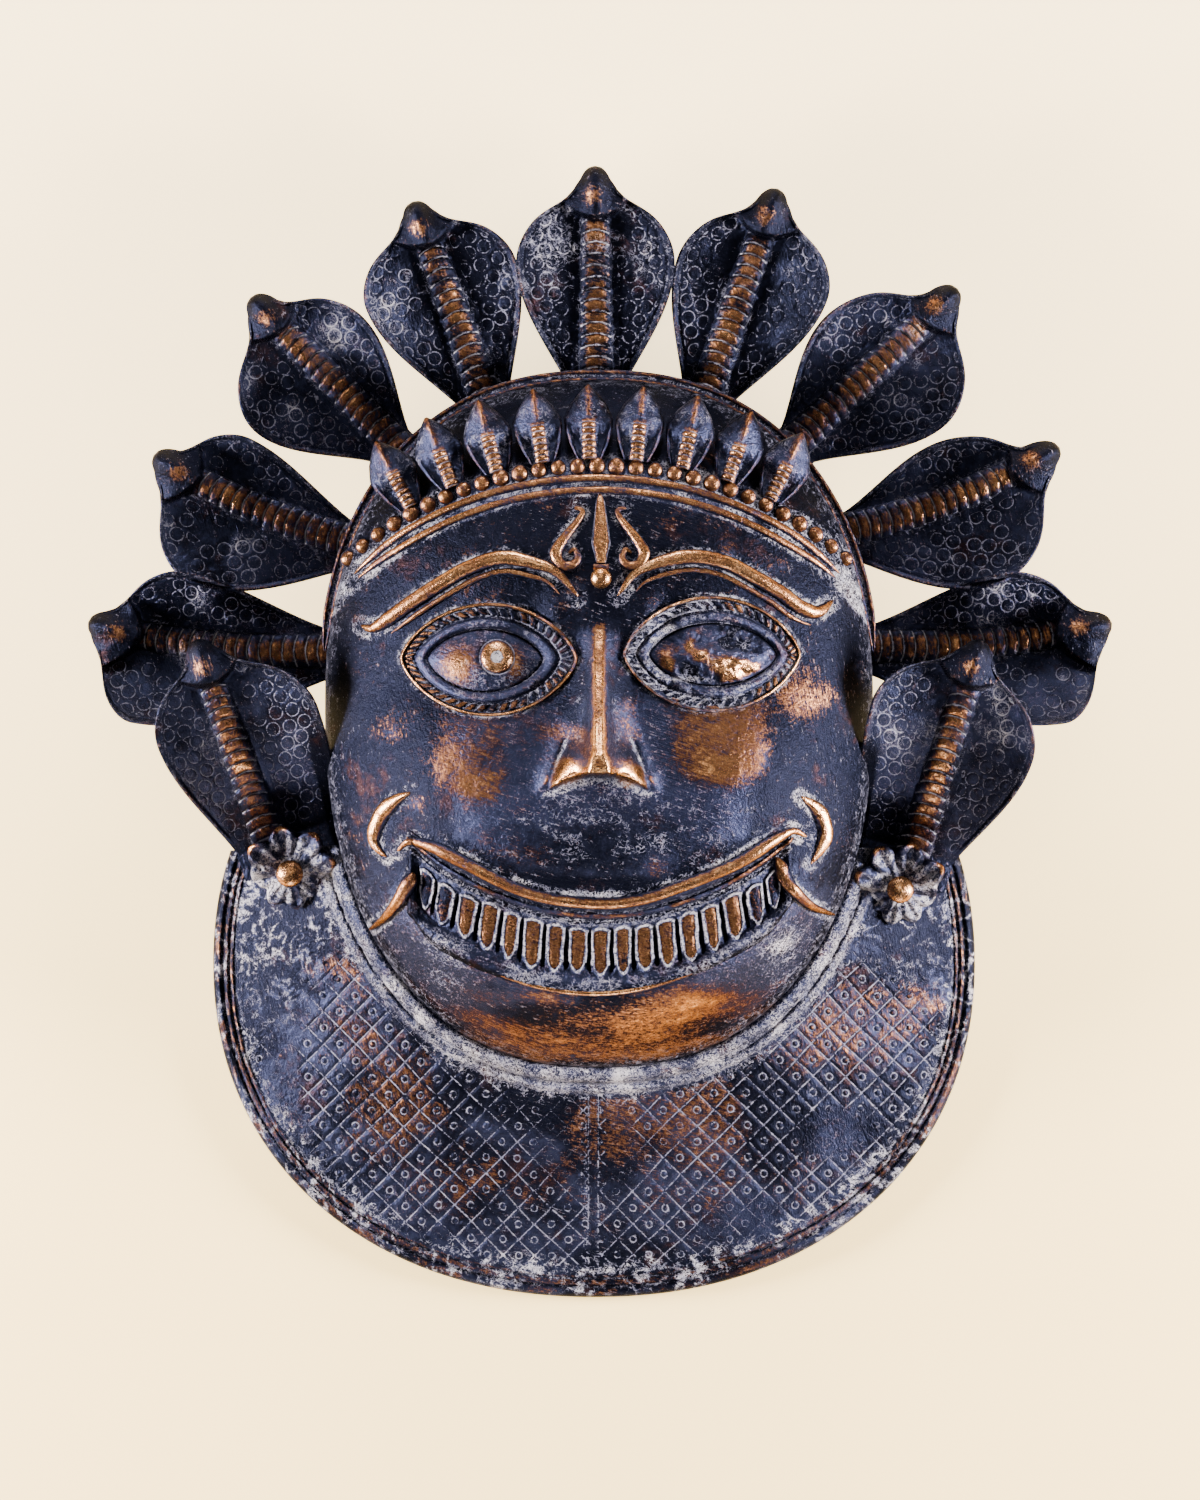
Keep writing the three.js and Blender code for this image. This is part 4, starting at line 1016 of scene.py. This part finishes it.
def makeCrown(material):
    # two ridges over the forehead, a row of beads, a row of small hoods and a rim round the top of the face
    parts = []
    turn = np.linspace(-crown["halfAngle"], crown["halfAngle"], 25)
    for radius, half, height in crown["ridges"]:
        spread = radius - 1.5 * smooth(30, 41, np.abs(turn)) * np.sign(radius - 183)
        line = np.stack(onBand(spread, turn), 1)
        parts.append(rolled(line, 260, half, height, taperAt(260, 0.06, 0.06), polish=0.7))
    makePiece("browBand", joined(parts), material)
    beads = []
    for i in range(crown["beads"]):
        x, y = onBand(crown["beadRing"], (i - (crown["beads"] - 1) / 2) * crown["beadPitch"])
        z = faceHeight(x, y)
        size = crown["beadRadius"] * (1 + 0.06 * math.sin(i * 5.1))
        bead = ball(x, y, z + 1, size, size, size * 0.85, 18, 12)
        high = (bead["points"][:, 2] - z) / size
        bead["polish"], bead["chalk"] = 0.62 * smooth(0.3, 0.8, high), 0.65 * smooth(0.55, 0.2, high)
        beads.append(bead)
    makePiece("beads", joined(beads), material)
    makePiece("smallHoods", joined([smallHood(i) for i in range(crown["hoods"])]), material)
    # the rim is a flat strip with a ridge along each edge
    around = np.radians(np.linspace(crown["rimFrom"], 180 - crown["rimFrom"], 220))
    x, y = facePoint(around, 1, 1)
    path = np.stack([x, y, np.full(len(x), crown["rimZ"])], -1)
    up = np.tile([0.0, 0.0, 1.0], (len(x), 1))
    a = np.linspace(-3, 3, 13)
    edge = 5 - 1.3 * (1 - np.maximum(roundRidge(a - 1.9, 1.1), roundRidge(a + 1.9, 1.1)))
    section = np.concatenate([np.stack([a[::-1], edge[::-1]], 1), [[-3, -5], [3, -5]]])
    high = smooth(3.9, 4.8, section[:, 1])[None, :]
    flat = 0 * x[:, None]
    masks = {"polish": 0.36 * high + flat, "chalk": 0.45 * (1 - high) + flat, "dark": 0.3 + 0 * high + flat}
    makePiece("crownRim", tube(path, up, section, taperAt(220, 0.05, 0.05), **masks), material)


def smallHood(index):
    # a lozenge that bulges forward, with a ribbed ridge up its lower half and a rim down each side
    c = crown
    turn = (index - (c["hoods"] - 1) / 2) * c["hoodPitch"] - c["hoodTurn"]
    t, a = np.meshgrid(np.linspace(0, 1, 49), np.linspace(-1, 1, 33), indexing="ij")
    shares = [0.5, 0.78, 0.98, 1, 0.72, 0.3, 0.06]      # of the half width, from the root to the tip
    half = c["hoodHalf"] * np.interp(t, [0, 0.2, 0.42, 0.55, 0.75, 0.92, 1], shares)
    x0, y0 = onBand(c["hoodRing"] + c["hoodLength"] * t, turn)
    cosine, sine = math.cos(math.radians(turn)), math.sin(math.radians(turn))
    x, y = x0 + cosine * half * a, y0 - sine * half * a
    base = faceHeight(*onBand(c["hoodRing"], turn)) + 3 - 7 * t
    across, ridgeHalf = np.abs(a) * half, c["ridgeHalf"]
    bulge = c["hoodBulge"] * (1 - a * a) * smooth(0.25, 0.5, t) * smooth(1.05, 0.85, t)
    ridge = c["ridgeHeight"] * roundRidge(across, ridgeHalf) * smooth(0.56, 0.46, t)
    ridge = ridge + 1.3 * bell(across, 1.5) * smooth(0.4, 0.6, t)
    rib = (t * c["hoodLength"] - 0.7 * (1 - (across / ridgeHalf) ** 2)) / c["ribPitch"]
    fromRib = toWhole(rib) * c["ribPitch"]
    onRibs = smooth(0.56, 0.5, t) * smooth(ridgeHalf + 0.6, ridgeHalf, across)
    groove = smooth(0.7, 0.1, fromRib) * onRibs
    mark = 2.2 * fromRib * alternating(rib) + np.where(onRibs > 0.5, 0, 9)
    rim = c["hoodRim"] * smooth(0.75, 0.92, np.abs(a)) * smooth(0.6, 0.45, t)
    z = base + bulge + ridge - 1.1 * groove + rim
    top = np.stack([x, y, z - 1.4 * smooth(0.9, 1, np.abs(a))], -1)
    polish = most(
        0.7 * smooth(ridgeHalf, ridgeHalf * 0.7, across) * smooth(0.58, 0.5, t) * (1 - 0.6 * groove),
        0.5 * bell(across, 1.8) * smooth(0.45, 0.7, t),
        0.2 * rim / c["hoodRim"])
    chalk = most(
        0.25 * groove,
        0.4 * smooth(0.1, 0.4, -standing(top, 2)),
        0.3 * smooth(-0.6, 0.7, noise(x, y, 7, 15)) * (1 - polish))
    dark = 0.35 * smooth(-0.4, 0.6, noise(x, y, 9, 17))
    pick = picked(t.shape, 4)
    under = np.stack([x[pick], y[pick], base[pick] - 5.5], -1)
    return slab(top, under, 4, polish=polish, chalk=chalk, dark=dark, mark=mark)


# Large hoods: root, middle and tip of the spine, and for either side its half width, the share of the length
# where it is widest and, where that isn't rootShare, its share at the root; shaded names the side by the
# face, which gets painted shade
hoods = {
    "hood1": {"root": (-134, 42), "mid": (-197, 44.5), "tip": (-256.5, 56),
              "left": (44, 0.73), "right": (35, 0.63),
              "z": (20, 50), "cup": 30},
    "hood2": {"root": (-124, 96.5), "mid": (-174, 114), "tip": (-223.5, 139.5),
              "left": (47.5, 0.62), "right": (30.5, 0.64)},
    "hood3": {"root": (-103.5, 146.5), "mid": (-139, 182.5), "tip": (-175, 218.5),
              "left": (46, 0.53), "right": (33, 0.54)},
    "hood4": {"root": (-56.5, 166), "mid": (-75, 217), "tip": (-94, 266.5),
              "left": (41, 0.6), "right": (38, 0.58)},
    "hood5": {"root": (-2, 171), "mid": (-2, 227), "tip": (-2.5, 284.5),
              "left": (40, 0.58), "right": (39.5, 0.58)},
    "hood6": {"root": (52, 168), "mid": (70.5, 220.5), "tip": (89, 273),
              "left": (36, 0.56), "right": (42, 0.6)},
    "hood7": {"root": (98.5, 147), "mid": (139, 185), "tip": (179, 223),
              "left": (35.5, 0.48), "right": (45.5, 0.54)},
    "hood8": {"root": (123, 102.5), "mid": (176.5, 118), "tip": (230, 143.5),
              "left": (29, 0.52), "right": (48.5, 0.56)},
    "hood9": {"root": (134, 44.5), "mid": (195, 46), "tip": (256.5, 55.5),
              "left": (34, 0.6), "right": (45, 0.74),
              "z": (20, 50), "cup": 30},
    "leftEarHood": {"root": (-166, -54), "mid": (-183.5, -3), "tip": (-201, 47),
                    "left": (36, 0.58, 0.5), "right": (46, 0.52, 0.85), "z": (29, 84), "shaded": 1},
    "rightEarHood": {"root": (157.5, -59), "mid": (173.5, -6), "tip": (189.5, 47),
                     "left": (43, 0.6, 0.75), "right": (42.5, 0.54, 0.5), "z": (28, 84), "shaded": -1},
}
hoodLook = {
    "z": (28, 54), "cup": 9, "long": 144, "wide": 96, "coarse": 6, "thickness": 4, "rootShare": 0.3,
    "ridgeHalf": 8.8, "ridgeHeight": 5.5, "bandPitch": 5.7, "headHalf": 10, "headHeight": 6, "snoutHeight": 4,
    "ringPitch": 8.4, "ringRadius": 3.3, "ringDepth": 0.3, "rimWidth": 2.2, "rimHeight": 1.4,
    "start": -0.14, "headFrom": 0.8, "rootExtra": 9,
}


def hoodSpine(hood, t):
    # a curve with one control point that passes through root, middle and tip
    root, mid, tip = (np.array(hood[k]) for k in ("root", "mid", "tip"))
    control = 2 * mid - (root + tip) / 2
    s = t[..., None]
    at = (1 - s) ** 2 * root + 2 * s * (1 - s) * control + s * s * tip
    d = (1 - s) * (control - root) + s * (tip - control)
    d = d / np.linalg.norm(d, axis=-1, keepdims=True)
    return at, np.stack([d[..., 1], -d[..., 0]], -1)


def hoodHalf(side, t):
    # a rising sine to the widest place, then a round shoulder drawn in at the neck
    width, widest, share = (*side, hoodLook["rootShare"])[:3]
    rise = width * (share + (1 - share) * np.sin(np.pi / 2 * (np.clip(t, 0, widest) / widest) ** 1.15))
    q = np.clip((t - widest) / (1 - widest), 0, 1)
    fall = width * np.maximum(1 - q * q, 0.012) ** 1.15 * (1 - 0.28 * np.exp(-((q - 0.72) / 0.15) ** 2))
    return np.where(t < widest, rise, fall)


def punched(across, along, seed):
    # distance to the nearest ring centre of a jittered lattice of staggered rows, and that ring's own number
    pitch = hoodLook["ringPitch"]
    best, own = np.full(across.shape, 99.0), np.zeros(across.shape)
    row0 = np.round(along / (pitch * 0.87)).astype(np.int64)
    for dr in (-1, 0, 1):
        row = row0 + dr
        col0 = np.round(across / pitch - 0.5 * (row % 2)).astype(np.int64)
        for dc in (-1, 0, 1):
            col = col0 + dc
            cx = (col + 0.5 * (row % 2)) * pitch + 0.8 * cornerValue(row, col, seed)
            cy = row * pitch * 0.87 + 0.8 * cornerValue(col, row, seed + 9)
            d = np.hypot(across - cx, along - cy)
            own = np.where(d < best, cornerValue(row * 3, col * 7, seed + 17), own)
            best = np.minimum(best, d)
    return best, own


def makeHood(name, hood, seed, material):
    # rows run from root to tip and columns across: a dished leaf with a ribbed belly, rings and a head
    k = hoodLook
    t, a = np.meshgrid(np.linspace(k["start"], 1, k["long"] + 1), np.linspace(-1, 1, k["wide"] + 1),
                       indexing="ij")
    at, right = hoodSpine(hood, t)
    headShare = np.clip((t - k["headFrom"]) / 0.2, 0, 1)
    headWide = k["headHalf"] * roundRidge(headShare - 0.35, 0.65) * (t > k["headFrom"])
    half = np.where(a < 0, hoodHalf(hood["left"], t), hoodHalf(hood["right"], t))
    half = np.maximum(half, headWide * 0.9)
    across = a * half
    x, y = at[..., 0] + right[..., 0] * across, at[..., 1] + right[..., 1] * across
    along = t * math.dist(hood["root"], hood["tip"])
    low, high = hood.get("z", k["z"])
    base = low + (high - low) * (1 - (1 - np.clip(t, 0, 1)) ** 1.7)
    base = base + hood.get("cup", k["cup"]) * (across / 40) ** 2 * smooth(0, 0.5, t)
    fromEdge = (1 - np.abs(a)) * half

    # the belly's plates end at the throat, where the head begins
    ridgeHalf = k["ridgeHalf"] * (1 - 0.24 * np.clip(t, 0, 1))
    ridge = roundRidge(across, ridgeHalf)
    throat = 0.765 + 0.06 * (across / 14) ** 2
    onRidge = smooth(throat + 0.015, throat - 0.015, t)
    plate = (along - 2.2 * (1 - np.clip(across / ridgeHalf, -1, 1) ** 2)) / k["bandPitch"]
    fromGroove = toWhole(plate) * k["bandPitch"]
    groove = smooth(1.0, 0.1, fromGroove) * onRidge
    belly = ridge ** 0.75 * onRidge * k["ridgeHeight"]
    shelf = smooth(throat - 0.008, throat + 0.02, t)
    tipRound = np.sqrt(np.clip(1 - headShare ** 4, 0, 1))
    head = 2 + k["headHeight"] * np.clip(1 - a * a, 0, 1) ** 1.2 + k["snoutHeight"] * bell(across, 5.5)
    head = shelf * tipRound * head
    # punched rings: none on the plates, the rim and the neck, and fewer in the middle of the upper half
    distance, own = punched(across, along, seed)
    free = smooth(0.7, 0.4, np.abs(a)) * smooth(0.45, 0.62, t)
    present = (own > 0.9 * free - 0.85) * smooth(ridgeHalf + 2, ridgeHalf + 3.5, np.abs(across))
    present = present * smooth(3, 5, fromEdge) * (1 - shelf) * smooth(0.0, 0.06, t)
    mark = np.clip(distance - k["ringRadius"], -4, 4) + 6 * (1 - present)
    onPlates = (np.abs(across) < ridgeHalf * 0.96) & (onRidge > 0.5)
    mark = np.where(onPlates, fromGroove * alternating(plate), mark)
    ring = smooth(0.9, 0.2, np.abs(mark)) * ~onPlates
    rim = roundRidge(fromEdge - k["rimWidth"] * 0.5, k["rimWidth"] * 0.55)
    rim = rim * smooth(0.02, 0.12, t) * smooth(0.95, 0.85, t)
    inLine = bell(fromEdge - k["rimWidth"] - 1.2, 0.6) * smooth(0.05, 0.15, t) * smooth(0.86, 0.8, t)
    z = base + belly * (1 - 0.3 * groove) - 0.9 * groove * ridge + head
    z = z + k["rimHeight"] * rim - 0.5 * inLine - k["ringDepth"] * ring
    z = z + 0.4 * noise(x, y, 12, seed + 3) + 0.12 * noise(x, y, 3, seed + 5)
    top = np.stack([x, y, z], -1)

    cloud, patchy = noise(x, y, 22, seed + 41), noise(x, y, 8, seed + 43)
    plates = smooth(0.95, 0.35, np.abs(across / ridgeHalf)) * onRidge * (1 - 0.5 * groove)
    plates = plates * (0.52 + 0.25 * patchy) * smooth(0.95, 0.5, np.abs(t - 0.42) * 1.3 + 0.25 * cloud)
    edges = 0.16 * rim * smooth(-0.2, 0.5, cloud) + 0.15 * smooth(0.15, 0.55, standing(top, 2))
    polish = most(plates, 0.58 * shelf * bump(across, t, -1.5, 0.865, 5, 0.05), edges)
    facing = smooth(150, 40, abs(hood["tip"][0]))      # the hoods that catch both side lamps
    dusty = smooth(0.1, 1.0, cloud + 0.5 * patchy) * smooth(0.25, 0.6, t) * (1 - 0.9 * shelf)
    beside = 0.42 * bell(np.abs(across) - ridgeHalf - 0.8, 1.1) * onRidge * smooth(-0.6, 0.4, patchy)
    chalk = most(
        0.6 * groove * smooth(0.05, 0.4, ridge), beside,
        0.4 * inLine + 0.3 * rim, (0.5 - 0.08 * facing) * dusty)
    # dark: painted shade on the middle hoods, which catch both side lamps, and on the head and its tip;
    # random dark mottling besides
    dark = 0.02 + 0.6 * facing + 0.3 * smooth(0.5, -0.3, cloud) + 0.8 * smooth(0.9, 0.98, t) + 0.7 * shelf
    # painted shade on the part next to the face
    paintedShadeWeb = smooth(0.72, 0.86, a * hood.get("shaded", 0)) * smooth(0.5, 0.3, t)      # the part next to the face
    dark, chalk, mark = np.maximum(dark, paintedShadeWeb), chalk * (1 - paintedShadeWeb), np.where(paintedShadeWeb > 0.5, 9, mark)
    step = k["coarse"]
    pick = picked(t.shape, step)
    thick = k["thickness"] + k["rootExtra"] * smooth(0.3, 0, t[pick])
    under = np.stack([x[pick], y[pick], base[pick] - thick], -1)
    makePiece(name, slab(top, under, step, polish=polish, chalk=chalk, dark=dark, mark=mark), material)


# Bib: a sloping crescent with a double neck ring, a crossed lattice and a rolled rim
bib = {
    "x": -3, "y": -115.5, "halfWidth": 192.5, "halfHeight": 169, "squareness": 2.15, "from": 162, "to": 378,
    "neckFrom": 208.6, "neckTo": 330.9, "rootZ": 47, "rimZ": 6, "wall": 5,
    "long": 672, "wide": 112, "coarse": 8,
    "neckRidges": ((5, 4.6, 6.5), (12, 2.4, 3)),      # place, half width and height
    "rimRidges": ((2.7, 2.7, 3.6), (7.2, 1.7, 2.2), (10.6, 1.1, 1.2)),
    "cell": 11.6, "lineDepth": 0.6, "dotRadius": 1.7, "dotHeight": 0.5, "pairHalf": 2.5, "pairFrom": -150,
    "solidFrom": 0.9,
}


def bibPoint(s, v):
    # between the inner and the outer edge at a share s of its length and v of its width
    inX, inY = facePoint(np.radians(bib["neckFrom"] + (bib["neckTo"] - bib["neckFrom"]) * s), 1, -2)
    a = np.radians(bib["from"] + (bib["to"] - bib["from"]) * s)
    power = 2 / bib["squareness"]
    outX = bib["x"] + bib["halfWidth"] * np.sign(np.cos(a)) * np.abs(np.cos(a)) ** power
    outY = bib["y"] + bib["halfHeight"] * np.sign(np.sin(a)) * np.abs(np.sin(a)) ** power
    return inX + (outX - inX) * v, inY + (outY - inY) * v, np.hypot(outX - inX, outY - inY)


def makeBib(material):
    # rows go round from the left rosette to the right, columns from the neck out to the rim
    s, v = np.meshgrid(np.linspace(0, 1, bib["long"] + 1), np.linspace(0, 1, bib["wide"] + 1), indexing="ij")
    x, y, span = bibPoint(s, v)
    reach, left = v * span, (1 - v) * span      # from the neck and from the rim
    slope = bib["rootZ"] + (bib["rimZ"] - bib["rootZ"]) * v
    neck = most(0 * x, *(roundRidge(reach - place, half) * high for place, half, high in bib["neckRidges"]))
    rim = most(0 * x, *(roundRidge(left - place, half) * high for place, half, high in bib["rimRidges"]))
    # a lattice of slanting cells with a dot in each, and a pair of lines down the middle
    p, q = (x + y) / math.sqrt(2) / bib["cell"], (y - x) / math.sqrt(2) / bib["cell"]
    p, q = p + 0.07 * noise(x, y, 35, 81, 2), q + 0.07 * noise(x, y, 35, 83, 2)
    fromLine = np.minimum(np.abs(p - np.round(p)), np.abs(q - np.round(q))) * bib["cell"]
    fromDot = np.hypot(np.floor(p) + 0.5 - p, np.floor(q) + 0.5 - q) * bib["cell"]
    clear = noise(x, y, 40, 91)
    field = smooth(15, 18, reach) * smooth(13.5, 16, left) * smooth(0.07, 0.16, s) * smooth(0.93, 0.85, s)
    strong = field * smooth(-1.1, -0.2, clear)
    fromPair = np.abs(x - bib["x"] + 0.3) - bib["pairHalf"]
    isPair = (np.abs(fromPair) < 4) & (y < bib["pairFrom"]) & (reach > 14) & (left > 13)
    mark = np.minimum(fromLine, fromDot - bib["dotRadius"])
    sign = np.where(isPair & (fromPair < 0), 9, alternating(np.floor(p) + np.floor(q)))
    mark = np.where(isPair & (np.abs(fromPair) < np.abs(mark)), fromPair, mark * sign)
    mark = mark + np.where(isPair, 0, np.sign(mark) * 5 * (1 - strong))
    cut = smooth(1.2, 0.3, np.abs(mark))
    hollow = smooth(bib["dotRadius"] + 0.3, bib["dotRadius"] - 0.8, fromDot) * strong * ~isPair
    z = slope + 0.35 * noise(x, y, 16, 71) + 0.14 * noise(x, y, 3.2, 73)
    z = z + neck + rim - bib["lineDepth"] * cut + bib["dotHeight"] * hollow
    top = np.stack([x, y, np.maximum(z, 0.5)], -1)

    patchy = noise(x, y, 9, 96)
    brown = noise(x, y, 46, 95) + 0.9 * bump(x, y, -62, -213, 70, 26)
    brown = brown + 1.0 * bump(x, y, 95, -170, 60, 45) + 0.6 * bump(x, y, -120, -150, 30, 40)
    brown = smooth(0.0, 1.3, brown + 0.35 * patchy - 0.3 * smooth(20, 5, left))
    polish = most(
        0.4 * brown * field * (1 - 0.5 * cut),
        0.4 * smooth(0.6, 0.95, rim / 3.6) * smooth(-0.5, 0.7, noise(x, y, 15, 97)),
        0.32 * smooth(0.3, 0.8, rim) * smooth(5, 7, left),
        0.26 * smooth(0.7, 0.95, neck / 6.5) * smooth(0.1, 0.8, noise(x, y, 12, 98)))
    chalk = 0.42 * smooth(24, 13, reach) * smooth(-0.8, 0.6, clear + 0.6 * patchy)
    inside = smooth(18, 12, left) * smooth(11.5, 12.5, left)      # the strip just inside the rim
    chalk = np.maximum(chalk, 0.6 * inside * smooth(-0.7, 0.4, noise(x, y, 14, 99)))
    warpX, warpY = x + 4 * noise(x, y, 12, 111), y + 4 * noise(x, y, 12, 113)
    veins = smooth(0.5, 0.1, np.abs(noise(warpX, warpY, 5.5, 101))) * smooth(-1.1, 0.3, patchy)
    ends = np.maximum(smooth(0.22, 0.08, s), smooth(0.82, 0.94, s))
    margin = np.maximum(ends, smooth(24, 15, np.minimum(reach, left)))
    chalk = most(chalk * (1 - 0.5 * ends), 0.75 * veins * margin, 0.4 * smooth(0.1, 0.5, -standing(top, 2)))
    # dark: random dark mottling, and painted shade in the hollows
    dark = 0.2 + 0.45 * smooth(-0.6, 0.8, noise(x, y, 30, 93)) + 0.3 * smooth(0.2, 1, -standing(top, 4))
    dark = np.maximum(dark, (1 - veins) * ends)
    onNeck = smooth(17, 14, reach)
    chalk = np.maximum(chalk * (1 - 0.5 * onNeck), (0.56 + 0.2 * patchy) * onNeck)
    dark = dark * (1 - 0.8 * onNeck)
    step = bib["coarse"]
    pick = picked(s.shape, step)
    low = np.where(v[pick] > bib["solidFrom"], 0, np.maximum(slope[pick] - bib["wall"], 0))
    under = np.stack([x[pick], y[pick], low], -1)
    makePiece("bib", slab(top, under, step, polish=polish, chalk=chalk, dark=dark, mark=mark), material)


# Rosettes: pointed petals that stand up round a flattened ball
rosettes = {"leftRosette": (-155.5, -70, 0.2), "rightRosette": (150.5, -78, 0.5)}
rosetteLook = {
    "round": 144, "out": 24, "coarse": 6, "z": 46, "wall": 12, "reach": 24.5, "petals": 8, "petalRise": 11,
    "lowerDrop": 17, "ballRadius": 6.8, "ballRise": 5,
}


def makeRosette(name, x0, y0, turn, material):
    # distance out by angle: each petal is an arch between two notches, hollow along its middle
    k = rosetteLook
    rows, cols, step = k["round"], k["out"], k["coarse"]
    angle = (np.arange(rows) / rows * 2 * np.pi)[:, None]
    r = np.linspace(0, 1, cols + 1)[None, :]
    part = np.abs(((angle - turn) * k["petals"] / (2 * np.pi) + 0.5) % 1 - 0.5) * 2
    upper = 0.25 + 0.75 * smooth(-0.35, 0.35, np.sin(angle))      # the upper petals stand, the lower ones lie
    reach = k["reach"] * (0.68 + 0.32 * upper) * (1 - 0.2 * part ** 1.3 * smooth(0.35, 1, r))
    x, y = x0 + reach * r * np.cos(angle), y0 + reach * r * np.sin(angle)
    fold = smooth(1, 0.6, part) * smooth(0.25, 0.6, r)
    z = k["z"] + k["petalRise"] * upper * r ** 1.4 * (0.5 + 0.5 * fold) - 1.6 * bell(part, 0.25) * fold
    z = z - 3 * smooth(0.93, 1, r) - k["lowerDrop"] * (1 - upper) * r + 0.9 * noise(x, y, 4, 31)
    top = np.stack([x, y, z], -1)
    polish = 0.8 * smooth(0.85, 0.96, r) * smooth(0.5, 0.2, part) * upper
    chalk = 0.7 * smooth(-0.9, 0.3, noise(x, y, 4, 37)) * smooth(1, 0.8, r * upper) + 0.06 * (1 - upper)
    # painted shade in the notches between the petals
    dark = 0.3 * smooth(0.7, 1, part) + 0 * polish
    pick = np.ix_(range(0, rows, step), (0, cols // 2, cols))
    under = np.stack([x[pick], y[pick], np.full((rows // step, 3), k["z"] - k["wall"])], -1)
    petals = ringSlab(top, under, step, polish=polish, chalk=chalk, dark=dark)
    size, rise = k["ballRadius"], k["ballRise"]
    boss = ball(x0, y0, k["z"] + rise * 0.6, size, size, rise, 28, 16, polish=0.85, chalk=0.1)
    makePiece(name, joined([petals, boss]), material)


# Stage, light and camera
studio = {
    "floorSize": 6.0, "floorZ": -0.0003, "floorColour": (0.98, 0.7, 0.3, 1), "floorRoughness": 0.9,
    # the floor glows though it is no lamp: painted light, brighter towards the top
    "floorGlow": (0.72, 0.48, 0.12, 1), "topGlow": (1, 0.84, 0.56, 1), "glowStrength": 2,
    "glowFrom": -0.3, "glowTo": 0.36, "worldColour": (0.8, 0.85, 1, 1), "worldStrength": 0.09,
    "cameraHeight": 5.0, "frameHeight": 0.75, "lookY": -0.008, "sharpPlane": 0.06,
}
lamps = {
    "left": {"place": (-1.5, -0.12, 0.47), "size": 0.5, "power": 165, "colour": (0.94, 0.93, 1)},
    "right": {"place": (1.5, -0.12, 0.47), "size": 0.5, "power": 165, "colour": (0.94, 0.93, 1)},
    "top": {"place": (0, 1.6, 0.5), "size": 0.5, "power": 34, "colour": (0.94, 0.93, 1)},
    "bottom": {"place": (0, -1.7, 0.45), "size": 0.6, "power": 20, "colour": (0.94, 0.93, 1)},
    "overhead": {"place": (0, 0.8, 2.6), "size": 1.2, "power": 14, "colour": (1, 0.98, 0.94)},
}


def makeStage():
    half = studio["floorSize"] / 2
    mesh = bpy.data.meshes.new("floor")
    corners = [(sx * half, sy * half, studio["floorZ"]) for sx, sy in ((-1, -1), (1, -1), (1, 1), (-1, 1))]
    mesh.from_pydata(corners, [], [(0, 1, 2, 3)])
    floor = bpy.data.objects.new("floor", mesh)
    bpy.context.scene.collection.objects.link(floor)
    s = Sheet("glowingFloor")
    s.put(s.shader.inputs["Base Color"], studio["floorColour"])
    s.put(s.shader.inputs["Roughness"], studio["floorRoughness"])
    # the floor glows, brighter towards the top: painted light for a lit backdrop
    along = s.node("SeparateXYZ", None, {0: s.node("TexCoord", out=3)}, out=1)
    glow = s.mix(s.step(along, studio["glowFrom"], studio["glowTo"]), studio["floorGlow"], studio["topGlow"])
    s.put(s.shader.inputs["Emission Color"], glow)
    s.put(s.shader.inputs["Emission Strength"], studio["glowStrength"])
    mesh.materials.append(s.material)
    world = bpy.data.worlds.new("studio")
    world.use_nodes = True
    world.node_tree.nodes["Background"].inputs[0].default_value = studio["worldColour"]
    world.node_tree.nodes["Background"].inputs[1].default_value = studio["worldStrength"]
    bpy.context.scene.world = world
    for name, lamp in lamps.items():
        light = bpy.data.lights.new(name, "AREA")
        light.shape = "DISK"
        light.size, light.energy, light.color = lamp["size"], lamp["power"], lamp["colour"]
        held = bpy.data.objects.new(name, light)
        held.location = lamp["place"]
        aim = np.array([0, 0, studio["sharpPlane"]]) - np.array(lamp["place"])
        held.rotation_euler = Vector(aim).to_track_quat("-Z", "Y").to_euler()
        bpy.context.scene.collection.objects.link(held)


def makeCamera():
    camera = bpy.data.cameras.new("camera")
    distance = studio["cameraHeight"] - studio["sharpPlane"]
    camera.lens = camera.sensor_width * distance / studio["frameHeight"]
    camera.clip_end = 20
    held = bpy.data.objects.new("camera", camera)
    held.location = (0, studio["lookY"], studio["cameraHeight"])
    bpy.context.scene.collection.objects.link(held)
    bpy.context.scene.camera = held


makeCamera()
makeStage()
print("stage, lights and camera are in")
bronze = patinaMaterial()
makeFace(bronze)
for eyeName, eye in eyes.items():
    makeEye(eyeName, eye, bronze)
makeMouth(bronze)
makeFeatures(bronze)
makeTrident(bronze)
print("the face is in")
makeCrown(bronze)
for number, (hoodName, hood) in enumerate(hoods.items()):
    makeHood(hoodName, hood, 100 + 7 * number, bronze)
print("the hoods are in")
makeBib(bronze)
for rosetteName, (x0, y0, turn) in rosettes.items():
    makeRosette(rosetteName, x0, y0, turn, bronze)
print("the bib is in")
